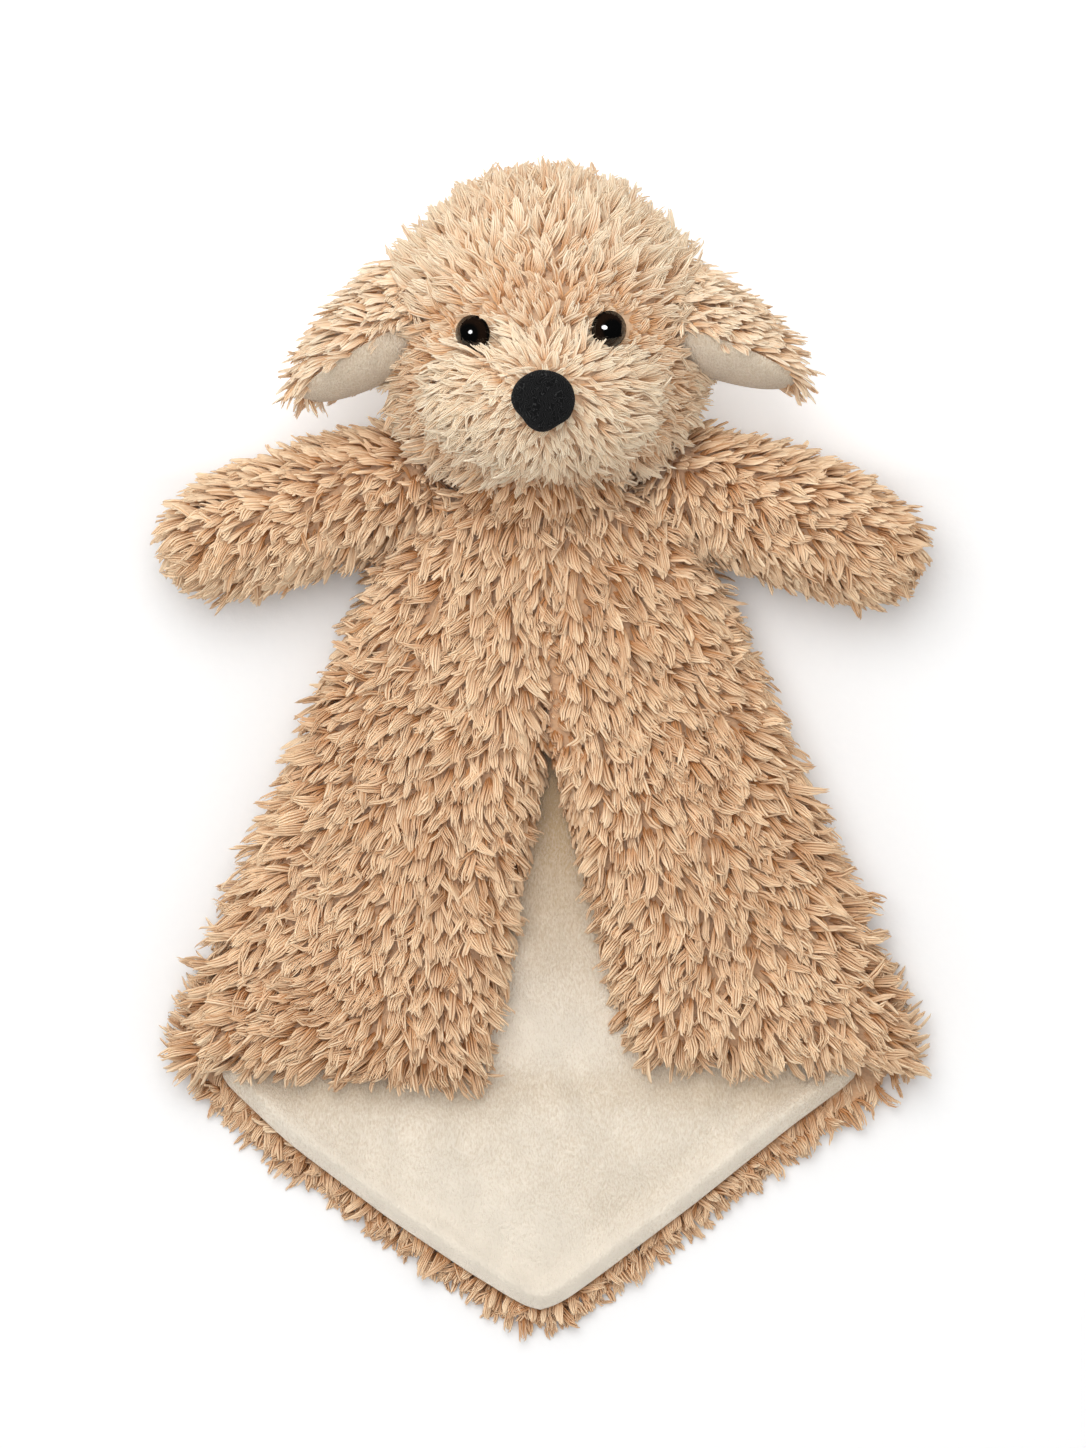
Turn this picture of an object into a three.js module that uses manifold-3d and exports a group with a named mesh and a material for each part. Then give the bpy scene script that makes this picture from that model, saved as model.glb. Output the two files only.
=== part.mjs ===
import * as THREE from 'three';
import { mergeVertices } from 'three/addons/utils/BufferGeometryUtils.js';
import Module from 'manifold-3d';

// A comfort blanket with a stuffed puppy head and two stuffed arms, lying on its back.
// Millimetres. +Y points to the head and +Z up from the surface that it lies on.
// The origin is on that surface, under the middle of the whole length.
// Plush solids hold the body of the pile, so the loose tips of the pile stand a little outside them.

const wasm = await Module();
wasm.setup();

// Blanket, seen from above: a square whose side corners are folded to the front
const frontLength = 186; // from the neck down to the outer ends of the front hem
const tailLength = 77; // from the hem down to the tip of the back corner
const neckHalfWidth = 37;
const hemHalfWidth = 122;
const frontSeamLength = 78; // the folded sides are sewn together this far down the middle
const flapStart = 15; // the loose part of each side starts this far along its crease from the end of the seam
const leftCornerReach = 20; // from the middle out to the loose corner of the left front
const leftCornerDrop = 4.5; // that corner hangs this far below the outer end of its hem
const rightCornerReach = 31;
const rightCornerDrop = 1;
const tailFoldDrop = 8; // the tail's fold line lies this far below the outer ends of the hem

// Blanket, heights
const backPlushThickness = 7;
const liningThickness = 2.2;
const frontPlushHeight = 14; // plush of the front above its lining, at the hem
const neckPlushHeight = 22; // the same at the neck, where the cloth is gathered
const plushEdgeRound = 9;
const backEdgeRound = 6;
const seamLap = 2; // the two sides of the front overlap by this much at the neck, in their seam
const seamInset = 3.5; // the lining's turned edge lies this far inside the plush edge
const foldInset = 7; // the lining's fold lies this far inside the plush fold
const foldHalfWidth = 7; // half of the width of the rolled plush at the outer folds
const creaseHeight = 0.9; // soft creases of the lining
const gatherHeight = 1.6; // shallow gathers of the front, which run down from the neck

// Head, muzzle and nose
const headLength = 101;
const headWidth = 101;
const headDepth = 84;
const neckReach = 5; // from the blanket's top edge to the lowest point of the head
const headCoverThickness = 7;
const muzzleWidth = 74;
const muzzleLength = 55;
const muzzleRise = 11; // how far the muzzle stands above the face
const muzzleDepth = 50;
const muzzleDrop = 21; // from the middle of the head down to the middle of the muzzle
const muzzleCoverThickness = 6;
const noseWidth = 20.5;
const noseLength = 20;
const noseThickness = 9;
const noseSink = 3; // the nose sits this deep in the muzzle's pile
const noseDrop = 2.5; // below the middle of the muzzle

// Eyes: a domed button on a shank, held by a washer behind the cover
const eyeDiameter = 12;
const eyeDome = 4.6;
const eyeSpacing = 44;
const eyeDrop = 1.7; // below the middle of the head
const eyeSink = 2; // the back of the dome sits this deep in the pile
const shankDiameter = 3.2;
const shankLength = 8.4;
const washerDiameter = 13;
const washerThickness = 1.4;
const headNeckOpening = 24; // diameter of the opening through which the head is stuffed

// Ears
const earLength = 34;
const earWidth = 36;
const earPlushDome = 24; // thickness of the plush half at the head
const earLiningDome = 14; // thickness of the lining half at the head
const earBaseHeight = 44; // above the surface that the toy lies on
const earBaseDrop = 6.2; // below the middle of the head
const earBaseWidth = 26;
const earRootDepth = 16; // the ear's outline starts this far inside the head, which cuts it

// Arms
const armLength = 83;
const armDiameter = 40;
const armCoverThickness = 6;
const armRootRise = 7; // above the blanket's top edge, at the shoulder
const armRootReach = 4; // from the blanket's top corner out to the arm's root

// Neck
const neckDiameter = 40;
const neckLength = 16;
const neckHeight = 29;

// Clearances
const gap = 0.3; // between pieces that touch
const foldClearance = 1.2; // between the loose parts and the rolled folds, past which they swing
const overrun = 10; // how far a cutting solid runs past what it cuts

// Angles, in degrees
const leftEarDroop = 29;
const rightEarDroop = 20;
const earLean = 14; // the lining side leans up by this much
const armDroop = 16;

// Shares of the sizes above
const headTaperShare = 0.05; // the cheeks are wider than the crown by this share
const headJawShare = 0.12; // the two corners of the jaw stand out by this share past a round one
const plushEdgeShare = 0.3; // height of a plush edge between its low and high faces
const armRadiusShares = [0.5, 0.72, 0.82, 0.88, 0.94, 0.99, 1, 0.96, 0.8, 0.5, 0];
const armPlaceShares = [0, 0.03, 0.12, 0.25, 0.4, 0.55, 0.7, 0.83, 0.93, 0.985, 1];
const earWidestShare = 0.42; // along the ear from its root
const earPlushTipShare = 0.4; // thickness near the tip, of the thickness at the head
const earLiningTipShare = 0.75;
const neckWaistShare = 0.9;
const noseRingShares = [0.5, 0.8, 0.95, 1, 0.97]; // widths of the nose from its top to its back
const noseHeightShares = [0.95, 0.78, 0.56, 0.3, 0];
const noseSwellShares = [0.03, 0.01]; // threefold and twofold swell of the nose's round outline
const domeFullShare = 0.55; // power that keeps a soft dome full towards its rim

// Counts
const panelColumns = 12;
const panelRows = 14;
const liningColumns = 12;
const liningRows = 12;
const roundSegments = 24;
const roundRings = 14;
const armSegments = 16;
const smallSegments = 16;
const leafSteps = 9;
const domeSteps = 4;
const gatherCount = 5;

// Places that follow from the sizes
const overallLength = tailLength + frontLength + neckReach + headLength;
const tipY = -overallLength / 2;
const hemY = tipY + tailLength;
const neckY = hemY + frontLength;
const headY = neckY + neckReach + headLength / 2;
const seamEndY = neckY - frontSeamLength;
const tailFoldY = hemY - tailFoldDrop;
const backLiningLow = backPlushThickness + gap;
const backLiningHigh = backLiningLow + liningThickness;
const frontLiningLow = backLiningHigh + gap;
const frontLiningHigh = frontLiningLow + liningThickness;
const frontPlushLow = frontLiningHigh + gap;
const tallest = frontPlushLow + neckPlushHeight + overrun;

// Colours
const plushColour = 0xd9b48a;
const headColour = 0xe2bf95;
const liningColour = 0xe8dcc0;
const stuffingColour = 0xf3f1ec;
const noseColour = 0x0e0e10;
const eyeColour = 0x0a0a0a;
const washerColour = 0xdedede;

const part = new THREE.Group();

// A closed three.js geometry as a solid that can be joined and cut, its faces turned outwards
function solid(geometry) {
  const bare = geometry.clone();
  bare.deleteAttribute('normal');
  bare.deleteAttribute('uv');
  const merged = mergeVertices(bare);
  const points = merged.attributes.position;
  const corners = merged.index.array;
  const triangles = [];
  const [a, b, c] = [new THREE.Vector3(), new THREE.Vector3(), new THREE.Vector3()];
  let volume = 0;
  for (let i = 0; i < corners.length; i += 3) {
    const [p, q, r] = corners.slice(i, i + 3);
    if (p !== q && q !== r && r !== p) {
      a.fromBufferAttribute(points, p);
      b.fromBufferAttribute(points, q);
      c.fromBufferAttribute(points, r);
      volume += a.dot(b.cross(c));
      triangles.push([p, q, r]);
    }
  }
  const outward = volume > 0 ? triangles : triangles.map(([p, q, r]) => [p, r, q]);
  return new wasm.Manifold(new wasm.Mesh({
    numProp: 3,
    vertProperties: new Float32Array(points.array),
    triVerts: new Uint32Array(outward.flat()),
  }));
}

// Adds a solid to the part as a named mesh
function addPiece(name, shape, colour, roughness) {
  const cut = shape.getMesh();
  const geometry = new THREE.BufferGeometry();
  geometry.setAttribute('position', new THREE.BufferAttribute(cut.vertProperties, 3));
  geometry.setIndex(new THREE.BufferAttribute(cut.triVerts, 1));
  geometry.computeVertexNormals();
  const material = new THREE.MeshStandardMaterial({ color: colour, roughness, metalness: 0 });
  const mesh = new THREE.Mesh(geometry, material);
  mesh.name = name;
  part.add(mesh);
}

// Distance in plan from a point to the nearest side of an outline
function edgeDistance(x, y, outline) {
  const distances = outline.map(([ax, ay], i) => {
    const [bx, by] = outline[(i + 1) % outline.length];
    const [dx, dy] = [bx - ax, by - ay];
    const along = ((x - ax) * dx + (y - ay) * dy) / (dx * dx + dy * dy);
    const t = Math.min(Math.max(along, 0), 1);
    return Math.hypot(x - ax - t * dx, y - ay - t * dy);
  });
  return Math.min(...distances);
}

// 0 at an edge, and 1 from the rounding radius inwards, along a quarter of a circle
function rounded(distance, radius) {
  const left = Math.max(1 - distance / radius, 0);
  return Math.sqrt(Math.max(1 - left * left, 0));
}

// Steps from 0 to 1 that crowd towards both ends
function eased(step, count) {
  return (1 - Math.cos((Math.PI * step) / count)) / 2;
}

// A soft panel: plan(u, v) is its outline in X and Y, and low and high are its two faces, which meet at the edge
function panel(plan, low, high, columns, rows) {
  const points = [];
  const triangles = [];
  const at = (layer, i, j) => (layer * (rows + 1) + j) * (columns + 1) + i;
  for (const face of [low, high]) {
    for (let j = 0; j <= rows; j++) {
      for (let i = 0; i <= columns; i++) {
        const onEdge = i === 0 || j === 0 || i === columns || j === rows;
        const [x, y] = plan(eased(i, columns), eased(j, rows));
        points.push(x, y, onEdge ? (low(x, y) + high(x, y)) / 2 : face(x, y));
      }
    }
  }
  for (let j = 0; j < rows; j++) {
    for (let i = 0; i < columns; i++) {
      for (const layer of [0, 1]) {
        const quad = [at(layer, i, j), at(layer, i + 1, j), at(layer, i + 1, j + 1), at(layer, i, j + 1)];
        const [p, q, r, s] = layer ? quad : quad.reverse();
        triangles.push(p, q, r, p, r, s);
      }
    }
  }
  const geometry = new THREE.BufferGeometry();
  geometry.setAttribute('position', new THREE.Float32BufferAttribute(points, 3));
  geometry.setIndex(triangles);
  return geometry;
}

// An upright prism on an outline, for cutting
function prism(outline, bottom, top) {
  const shape = new THREE.Shape(outline.map(([x, y]) => new THREE.Vector2(x, y)));
  const geometry = new THREE.ExtrudeGeometry(shape, { depth: top - bottom, bevelEnabled: false });
  return solid(geometry.translate(0, 0, bottom));
}

function mix(a, b, t) {
  return a + (b - a) * t;
}

function radians(degrees) {
  return THREE.MathUtils.degToRad(degrees);
}

// Half of the blanket's width at a height on the page
function halfWidth(y) {
  if (y > hemY) {
    return mix(neckHalfWidth, hemHalfWidth, (neckY - y) / frontLength);
  }
  return mix(hemHalfWidth, 0, (hemY - y) / tailLength);
}

// Back of the blanket: from the neck to the tip, inset alike from both side folds and both tail edges
function backOutline(foldIn, edgeIn) {
  const hemCorner = hemHalfWidth - Math.max(foldIn, edgeIn);
  const top = neckHalfWidth - foldIn;
  return [[-top, neckY], [-hemCorner, hemY], [0, tipY + edgeIn * 2], [hemCorner, hemY], [top, neckY]];
}

function backPlan(outline) {
  const [[topX, topY], [cornerX, cornerY], [, lowY]] = outline;
  const bend = (topY - cornerY) / (topY - lowY);
  return (u, v) => {
    const side = v < bend ? mix(topX, cornerX, v / bend) : mix(cornerX, 0, (v - bend) / (1 - bend));
    return [mix(side, -side, u), mix(topY, lowY, v)];
  };
}

// One side of the front: neck, outer fold, hem, loose corner and inner edge
function frontOutline(side, reach, drop, foldIn, edgeIn) {
  const foldSlope = (hemHalfWidth - neckHalfWidth) / frontLength;
  const hemOut = hemHalfWidth - foldIn - edgeIn * foldSlope;
  return [
    [-side * seamLap, neckY],
    [side * (neckHalfWidth - foldIn), neckY],
    [side * hemOut, hemY + edgeIn],
    [side * (reach + edgeIn), hemY - drop + edgeIn],
    [side * edgeIn, seamEndY],
  ];
}

function frontPlan([top, shoulder, hemEnd, corner, seamEnd]) {
  const bend = (top[1] - seamEnd[1]) / (top[1] - corner[1]);
  return (u, v) => {
    const [from, to, t] = v < bend ? [top, seamEnd, v / bend] : [seamEnd, corner, (v - bend) / (1 - bend)];
    const inner = [mix(from[0], to[0], t), mix(from[1], to[1], t)];
    const outer = [mix(shoulder[0], hemEnd[0], v), mix(shoulder[1], hemEnd[1], v)];
    return [mix(inner[0], outer[0], u), mix(inner[1], outer[1], u)];
  };
}

// Plush of one side of the front, with its crown, its rounded edges and the gathers that leave the neck
function frontPlush(side, reach, drop) {
  const outline = frontOutline(side, reach, drop, 0, 0);
  const edgeHeight = (full) => frontPlushLow + full * plushEdgeShare;
  const crown = (y) => mix(neckPlushHeight, frontPlushHeight, (neckY - y) / frontLength);
  const gathers = (x, y) => {
    const across = Math.abs(x) / halfWidth(Math.max(y, hemY));
    const fade = Math.max(1 - (neckY - y) / frontLength, 0);
    return gatherHeight * fade * Math.cos(across * gatherCount * Math.PI * 2);
  };
  const low = (x, y) => mix(edgeHeight(crown(y)), frontPlushLow, rounded(edgeDistance(x, y, outline), plushEdgeRound));
  const high = (x, y) => {
    const full = frontPlushLow + crown(y) + gathers(x, y);
    return mix(edgeHeight(crown(y)), full, rounded(edgeDistance(x, y, outline), plushEdgeRound));
  };
  return solid(panel(frontPlan(outline), low, high, panelColumns, panelRows));
}

// Rolled plush along one outer fold, which joins the front to the back
function foldRoll(side, grow) {
  const bottom = -grow;
  const top = frontPlushLow + frontPlushHeight * plushEdgeShare + foldHalfWidth + grow;
  const halfHeight = (top - bottom) / 2;
  const [runX, runY] = [hemHalfWidth - neckHalfWidth, frontLength];
  const length = Math.hypot(runX, runY) - foldHalfWidth;
  const inset = (foldHalfWidth * Math.hypot(runX, runY)) / runY;
  const geometry = new THREE.CylinderGeometry(1, 1, length + 2 * grow, smallSegments);
  geometry.scale(foldHalfWidth + grow, 1, halfHeight);
  geometry.rotateZ(side * Math.atan2(runX, runY));
  const middleX = side * ((neckHalfWidth + hemHalfWidth) / 2 - inset);
  geometry.translate(middleX, (neckY + hemY) / 2, bottom + halfHeight);
  return solid(geometry);
}

// Outline of the loose lower part of one side of the front, past its crease
function looseOutline(side, shift) {
  const along = new THREE.Vector2(side * hemHalfWidth, hemY - seamEndY).normalize();
  const inward = new THREE.Vector2(along.y, -along.x).multiplyScalar(side);
  const place = (down, over) => [
    along.x * down + inward.x * over,
    seamEndY + along.y * down + inward.y * over,
  ];
  const reach = 2 * frontLength;
  const start = flapStart + shift;
  return [place(start, shift), place(reach, shift), place(reach, reach), place(start, reach)];
}

// Everything past the tail's fold line
function tailBlock(shift, bottom) {
  const out = hemHalfWidth + overrun;
  const low = tipY - overrun;
  const high = tailFoldY + shift;
  return prism([[-out, high], [out, high], [out, low], [-out, low]], bottom, tallest);
}

const flaps = [
  { name: 'left', side: -1, reach: leftCornerReach, drop: leftCornerDrop },
  { name: 'right', side: 1, reach: rightCornerReach, drop: rightCornerDrop },
];

// Back plush, flat where it lies on the surface
const backEdge = backOutline(0, 0);
const backLow = (x, y) => mix(backPlushThickness / 2, 0, rounded(edgeDistance(x, y, backEdge), backEdgeRound));
const backHigh = (x, y) => {
  return mix(backPlushThickness / 2, backPlushThickness, rounded(edgeDistance(x, y, backEdge), backEdgeRound));
};
const back = solid(panel(backPlan(backEdge), backLow, backHigh, 2 * panelColumns, panelRows));

// Space that the lining of the fixed part takes up between back and front
const liningSpace = prism(backOutline(foldInset, foldInset), backPlushThickness, frontPlushLow);

let blanketPlush = back.subtract(tailBlock(0, -overrun));
for (const { name, side, reach, drop } of flaps) {
  const front = frontPlush(side, reach, drop);
  const keep = prism(looseOutline(side, -gap / 2), -overrun, tallest);
  const loose = prism(looseOutline(side, gap / 2), -overrun, tallest);
  const roll = foldRoll(side, 0).subtract(liningSpace);
  blanketPlush = blanketPlush.add(front.subtract(keep)).add(roll);
  const flap = front.intersect(loose).subtract(foldRoll(side, foldClearance));
  addPiece(`flap_${name}_plush`, flap, plushColour, 0.95);
}
addPiece('blanket_plush', blanketPlush, plushColour, 0.95);
addPiece('tail_plush', back.intersect(tailBlock(-gap, -overrun)), plushColour, 0.95);

// Lining of the back, with the soft creases that show below the front
const backLiningEdge = backOutline(foldInset + gap, seamInset);
const creases = (x, y) => {
  const edge = rounded(edgeDistance(x, y, backLiningEdge), tailLength / 2);
  const below = Math.min(Math.max((hemY - y) / tailLength, 0), 1);
  return creaseHeight * edge * below * (1 + Math.cos(x / leftCornerReach + (2 * y) / frontSeamLength));
};
const liningMiddle = (backLiningLow + backLiningHigh) / 2;
const frontLiningMiddle = (frontLiningLow + frontLiningHigh) / 2;
const liningLow = (x, y) => {
  return mix(liningMiddle, backLiningLow, rounded(edgeDistance(x, y, backLiningEdge), liningThickness));
};
const liningHigh = (x, y) => {
  const round = rounded(edgeDistance(x, y, backLiningEdge), liningThickness);
  return mix(liningMiddle, backLiningHigh, round) + creases(x, y);
};
const backLining = solid(panel(backPlan(backLiningEdge), liningLow, liningHigh, liningColumns, liningRows));
addPiece('tail_lining', backLining.intersect(tailBlock(-gap, -overrun)), liningColour, 0.85);

let blanketLining = backLining.subtract(tailBlock(0, -overrun));
for (const { name, side, reach, drop } of flaps) {
  const outline = frontOutline(side, reach, drop, foldInset + gap, seamInset);
  const sheet = prism(outline, frontLiningLow, frontLiningHigh);
  const keep = prism(looseOutline(side, -gap / 2), -overrun, tallest);
  const loose = prism(looseOutline(side, gap / 2), -overrun, tallest);
  const flapLining = sheet.intersect(loose).subtract(foldRoll(side, foldClearance));
  addPiece(`flap_${name}_lining`, flapLining, liningColour, 0.85);
  const [, shoulder, hemEnd] = outline;
  const topY = shoulder[1] - liningThickness;
  const inward = (share) => -side * liningThickness * share;
  const strip = [
    [shoulder[0] + inward(1), topY],
    [hemEnd[0] + inward(1), hemEnd[1]],
    [hemEnd[0] + inward(2), hemEnd[1]],
    [shoulder[0] + inward(2), topY],
  ];
  const fold = prism(strip, liningMiddle, frontLiningMiddle).subtract(keep);
  blanketLining = blanketLining.add(sheet.subtract(keep)).add(fold);
}
addPiece('blanket_lining', blanketLining, liningColour, 0.85);

// Head: a ball with a broad jaw that is narrower at the crown, grown or shrunk alike on all sides
function headShape(grow) {
  const [halfX, halfY, halfZ] = [headWidth / 2 + grow, headLength / 2 + grow, headDepth / 2 + grow];
  const geometry = new THREE.SphereGeometry(1, roundSegments, roundRings);
  const points = geometry.attributes.position;
  for (let i = 0; i < points.count; i++) {
    const [x, y] = [points.getX(i), points.getY(i)];
    const taper = 1 - headTaperShare * y;
    const jaw = 1 + headJawShare * Math.sin(2 * Math.atan2(Math.min(y, 0), x)) ** 2;
    points.setXYZ(i, x * halfX * taper * jaw, y * halfY * jaw, points.getZ(i) * halfZ);
  }
  return solid(geometry.translate(0, headY, headDepth / 2));
}

// Height of the face above the middle of the head
function faceRise(x, y) {
  const up = y / (headLength / 2);
  const out = x / ((headWidth / 2) * (1 - headTaperShare * up));
  return (headDepth / 2) * Math.sqrt(1 - up * up - out * out);
}

function muzzleShape(grow) {
  const geometry = new THREE.SphereGeometry(1, roundSegments, roundRings);
  geometry.scale(muzzleWidth / 2 + grow, muzzleLength / 2 + grow, muzzleDepth / 2 + grow);
  return solid(geometry.translate(0, muzzleY, muzzleZ));
}

const muzzleY = headY - muzzleDrop;
const muzzleTop = headDepth / 2 + faceRise(0, -muzzleDrop) + muzzleRise;
const muzzleZ = muzzleTop - muzzleDepth / 2;
const noseBottom = muzzleTop - noseSink;

// Nose: a felted pad with a rounded three-sided outline, narrower at its foot
function noseShape(grow) {
  const points = [0, 0, 0, 0, 0, noseThickness];
  const triangles = [];
  const rim = (angle, share) => {
    const [three, two] = noseSwellShares;
    const swell = 1 + three * Math.sin(3 * angle) + two * Math.cos(2 * angle);
    return [
      (noseWidth / 2 + grow) * share * swell * Math.cos(angle),
      (noseLength / 2 + grow) * share * swell * Math.sin(angle),
    ];
  };
  noseRingShares.forEach((share, ring) => {
    for (let i = 0; i < smallSegments; i++) {
      const [x, y] = rim((2 * Math.PI * i) / smallSegments, share);
      points.push(x, y, noseHeightShares[ring] * noseThickness);
    }
  });
  const at = (ring, i) => 2 + ring * smallSegments + (i % smallSegments);
  for (let i = 0; i < smallSegments; i++) {
    triangles.push(1, at(0, i), at(0, i + 1));
    for (let ring = 1; ring < noseRingShares.length; ring++) {
      triangles.push(at(ring - 1, i), at(ring, i), at(ring, i + 1));
      triangles.push(at(ring - 1, i), at(ring, i + 1), at(ring - 1, i + 1));
    }
    triangles.push(0, at(noseRingShares.length - 1, i + 1), at(noseRingShares.length - 1, i));
  }
  const geometry = new THREE.BufferGeometry();
  geometry.setAttribute('position', new THREE.Float32BufferAttribute(points, 3));
  geometry.setIndex(triangles);
  return solid(geometry.translate(0, muzzleY - noseDrop, noseBottom - grow));
}

// Places a shape that was made round the Y axis so that its axis points along the face's normal at an eye
function atEye(geometry, side) {
  const [x, y] = [side * eyeSpacing / 2, -eyeDrop];
  const z = faceRise(x, y);
  const normal = new THREE.Vector3(x / headWidth ** 2, y / headLength ** 2, z / headDepth ** 2).normalize();
  geometry.applyQuaternion(new THREE.Quaternion().setFromUnitVectors(new THREE.Vector3(0, 1, 0), normal));
  return solid(geometry.translate(x, headY + y, headDepth / 2 + z));
}

function eyeShape(side, grow) {
  const dome = [];
  for (let i = 0; i <= domeSteps; i++) {
    const angle = (Math.PI / 2) * (i / domeSteps);
    dome.push([(eyeDiameter / 2 + grow) * Math.cos(angle), (eyeDome + grow) * Math.sin(angle) - eyeSink]);
  }
  dome[domeSteps][0] = 0;
  const shank = shankDiameter / 2 + grow;
  const profile = [[0, -shankLength - eyeSink], [shank, -shankLength - eyeSink], [shank, -eyeSink - grow]];
  profile.push([eyeDiameter / 2 + grow, -eyeSink - grow], ...dome);
  const geometry = new THREE.LatheGeometry(profile.map(([r, y]) => new THREE.Vector2(r, y)), smallSegments);
  return atEye(geometry, side);
}

function washerShape(side, grow) {
  const [inner, outer] = [shankDiameter / 2 + gap, washerDiameter / 2 + grow];
  const top = -headCoverThickness - gap + grow;
  const bottom = -headCoverThickness - gap - washerThickness - grow;
  const bore = grow > 0 ? 0 : inner;
  const profile = [[bore, bottom], [outer, bottom], [outer, top], [bore, top]];
  if (bore > 0) {
    profile.push([bore, bottom]);
  }
  const geometry = new THREE.LatheGeometry(profile.map(([r, y]) => new THREE.Vector2(r, y)), smallSegments);
  return atEye(geometry, side);
}

// Opening at the bottom of the head's cover, towards the neck
const openingRadius = headNeckOpening / 2;
const opening = new THREE.CylinderGeometry(openingRadius, openingRadius, 2 * neckLength, smallSegments);
opening.translate(0, neckY + neckReach, neckHeight);

let headCover = headShape(0).subtract(headShape(-headCoverThickness)).subtract(solid(opening));
let headStuffing = headShape(-headCoverThickness - gap);
for (const { name, side } of flaps) {
  headCover = headCover.subtract(eyeShape(side, gap)).subtract(washerShape(side, gap));
  headStuffing = headStuffing.subtract(eyeShape(side, gap)).subtract(washerShape(side, gap));
  addPiece(`eye_${name}`, eyeShape(side, 0), eyeColour, 0.08);
  addPiece(`eye_washer_${name}`, washerShape(side, 0), washerColour, 0.5);
}
addPiece('head_cover', headCover, headColour, 0.95);
addPiece('head_stuffing', headStuffing, stuffingColour, 1);

const aroundHead = headShape(gap);
let muzzleCover = muzzleShape(0).subtract(muzzleShape(-muzzleCoverThickness)).subtract(aroundHead);
for (const { side } of flaps) {
  muzzleCover = muzzleCover.subtract(eyeShape(side, gap));
}
addPiece('muzzle_cover', muzzleCover.subtract(noseShape(gap)), headColour, 0.95);
addPiece('muzzle_stuffing', muzzleShape(-muzzleCoverThickness - gap).subtract(aroundHead), stuffingColour, 1);
addPiece('nose', noseShape(0), noseColour, 0.9);

// Neck: gathered plush between the blanket's top edge and the head
const neckPoints = [];
const neckSteps = 8;
for (let i = 0; i <= neckSteps; i++) {
  const t = i / neckSteps;
  const waist = mix(1, neckWaistShare, Math.sin(Math.PI * t));
  neckPoints.push(new THREE.Vector2((neckDiameter / 2) * waist, t * neckLength));
}
neckPoints.unshift(new THREE.Vector2(0, 0));
neckPoints.push(new THREE.Vector2(0, neckLength));
const neck = new THREE.LatheGeometry(neckPoints, smallSegments);
neck.translate(0, neckY + gap, neckHeight);
addPiece('neck_gather', solid(neck).subtract(aroundHead), plushColour, 0.95);

// Ears: a plush half and a lining half, each a domed leaf on the same outline
function earHalf(side, droop, dome, tipShare, towards) {
  const leafWidth = (t) => {
    const grow = t < earWidestShare ? t / earWidestShare : (1 - t) / (1 - earWidestShare);
    const base = t < earWidestShare ? earBaseWidth : 0;
    return mix(base, earWidth, Math.sqrt(Math.max(1 - (1 - grow) ** 2, 0)));
  };
  const plan = (u, v) => [mix(-earRootDepth, earLength, u), (v - 1 / 2) * leafWidth(u)];
  const height = (x, y) => {
    const t = (x + earRootDepth) / (earLength + earRootDepth);
    const across = Math.min(Math.abs(y) / Math.max(leafWidth(t) / 2, gap), 1);
    const fill = Math.max((1 - across ** 2) * (1 - t ** 4), 0);
    return gap / 2 + dome * mix(1, tipShare, t) * fill ** domeFullShare;
  };
  const geometry = panel(plan, () => gap / 2, height, leafSteps, leafSteps);
  const outward = new THREE.Vector3(side * Math.cos(radians(droop)), -Math.sin(radians(droop)), 0);
  const up = new THREE.Vector3(side * Math.sin(radians(droop)), Math.cos(radians(droop)), 0);
  const lean = radians(earLean);
  const normal = up.clone().multiplyScalar(Math.cos(lean)).add(new THREE.Vector3(0, 0, -Math.sin(lean)));
  const across = new THREE.Vector3().crossVectors(normal, outward);
  const turn = new THREE.Matrix4().makeBasis(outward, across, normal.multiplyScalar(towards));
  geometry.applyMatrix4(turn);
  const y = -earBaseDrop;
  const z = earBaseHeight - headDepth / 2;
  const taper = 1 - headTaperShare * (y / (headLength / 2));
  const left = 1 - (y / (headLength / 2)) ** 2 - (z / (headDepth / 2)) ** 2;
  const x = side * ((headWidth / 2) * taper * Math.sqrt(left));
  return solid(geometry.translate(x, headY + y, earBaseHeight)).subtract(aroundHead);
}

const ears = [
  { name: 'left', side: -1, droop: leftEarDroop },
  { name: 'right', side: 1, droop: rightEarDroop },
];
for (const { name, side, droop } of ears) {
  const plush = earHalf(side, droop, earPlushDome, earPlushTipShare, 1);
  const lining = earHalf(side, droop, earLiningDome, earLiningTipShare, -1);
  addPiece(`ear_${name}_plush`, plush, headColour, 0.95);
  addPiece(`ear_${name}_lining`, lining, liningColour, 0.85);
}

// Arms: a limb that swells towards its round end, open at the shoulder where it was stuffed
function armProfile(shrink) {
  const radius = armDiameter / 2 - shrink;
  const length = armLength - shrink;
  return armRadiusShares.map((share, i) => new THREE.Vector2(radius * share, length * armPlaceShares[i]));
}

function placeArm(geometry, side) {
  const droop = radians(armDroop);
  const direction = new THREE.Vector3(side * Math.cos(droop), -Math.sin(droop), 0);
  geometry.applyQuaternion(new THREE.Quaternion().setFromUnitVectors(new THREE.Vector3(0, 1, 0), direction));
  const x = side * (neckHalfWidth + armRootReach);
  const placed = solid(geometry.translate(x, neckY + armRootRise, armDiameter / 2));
  return placed.subtract(besideFold);
}

// The blanket's plan between its folds, where the arms are cut back to their seams
const foldPlan = [
  [-neckHalfWidth - gap, neckY + gap],
  [-hemHalfWidth - gap, hemY],
  [hemHalfWidth + gap, hemY],
  [neckHalfWidth + gap, neckY + gap],
];
const besideFold = prism(foldPlan, -overrun, tallest);

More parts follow.
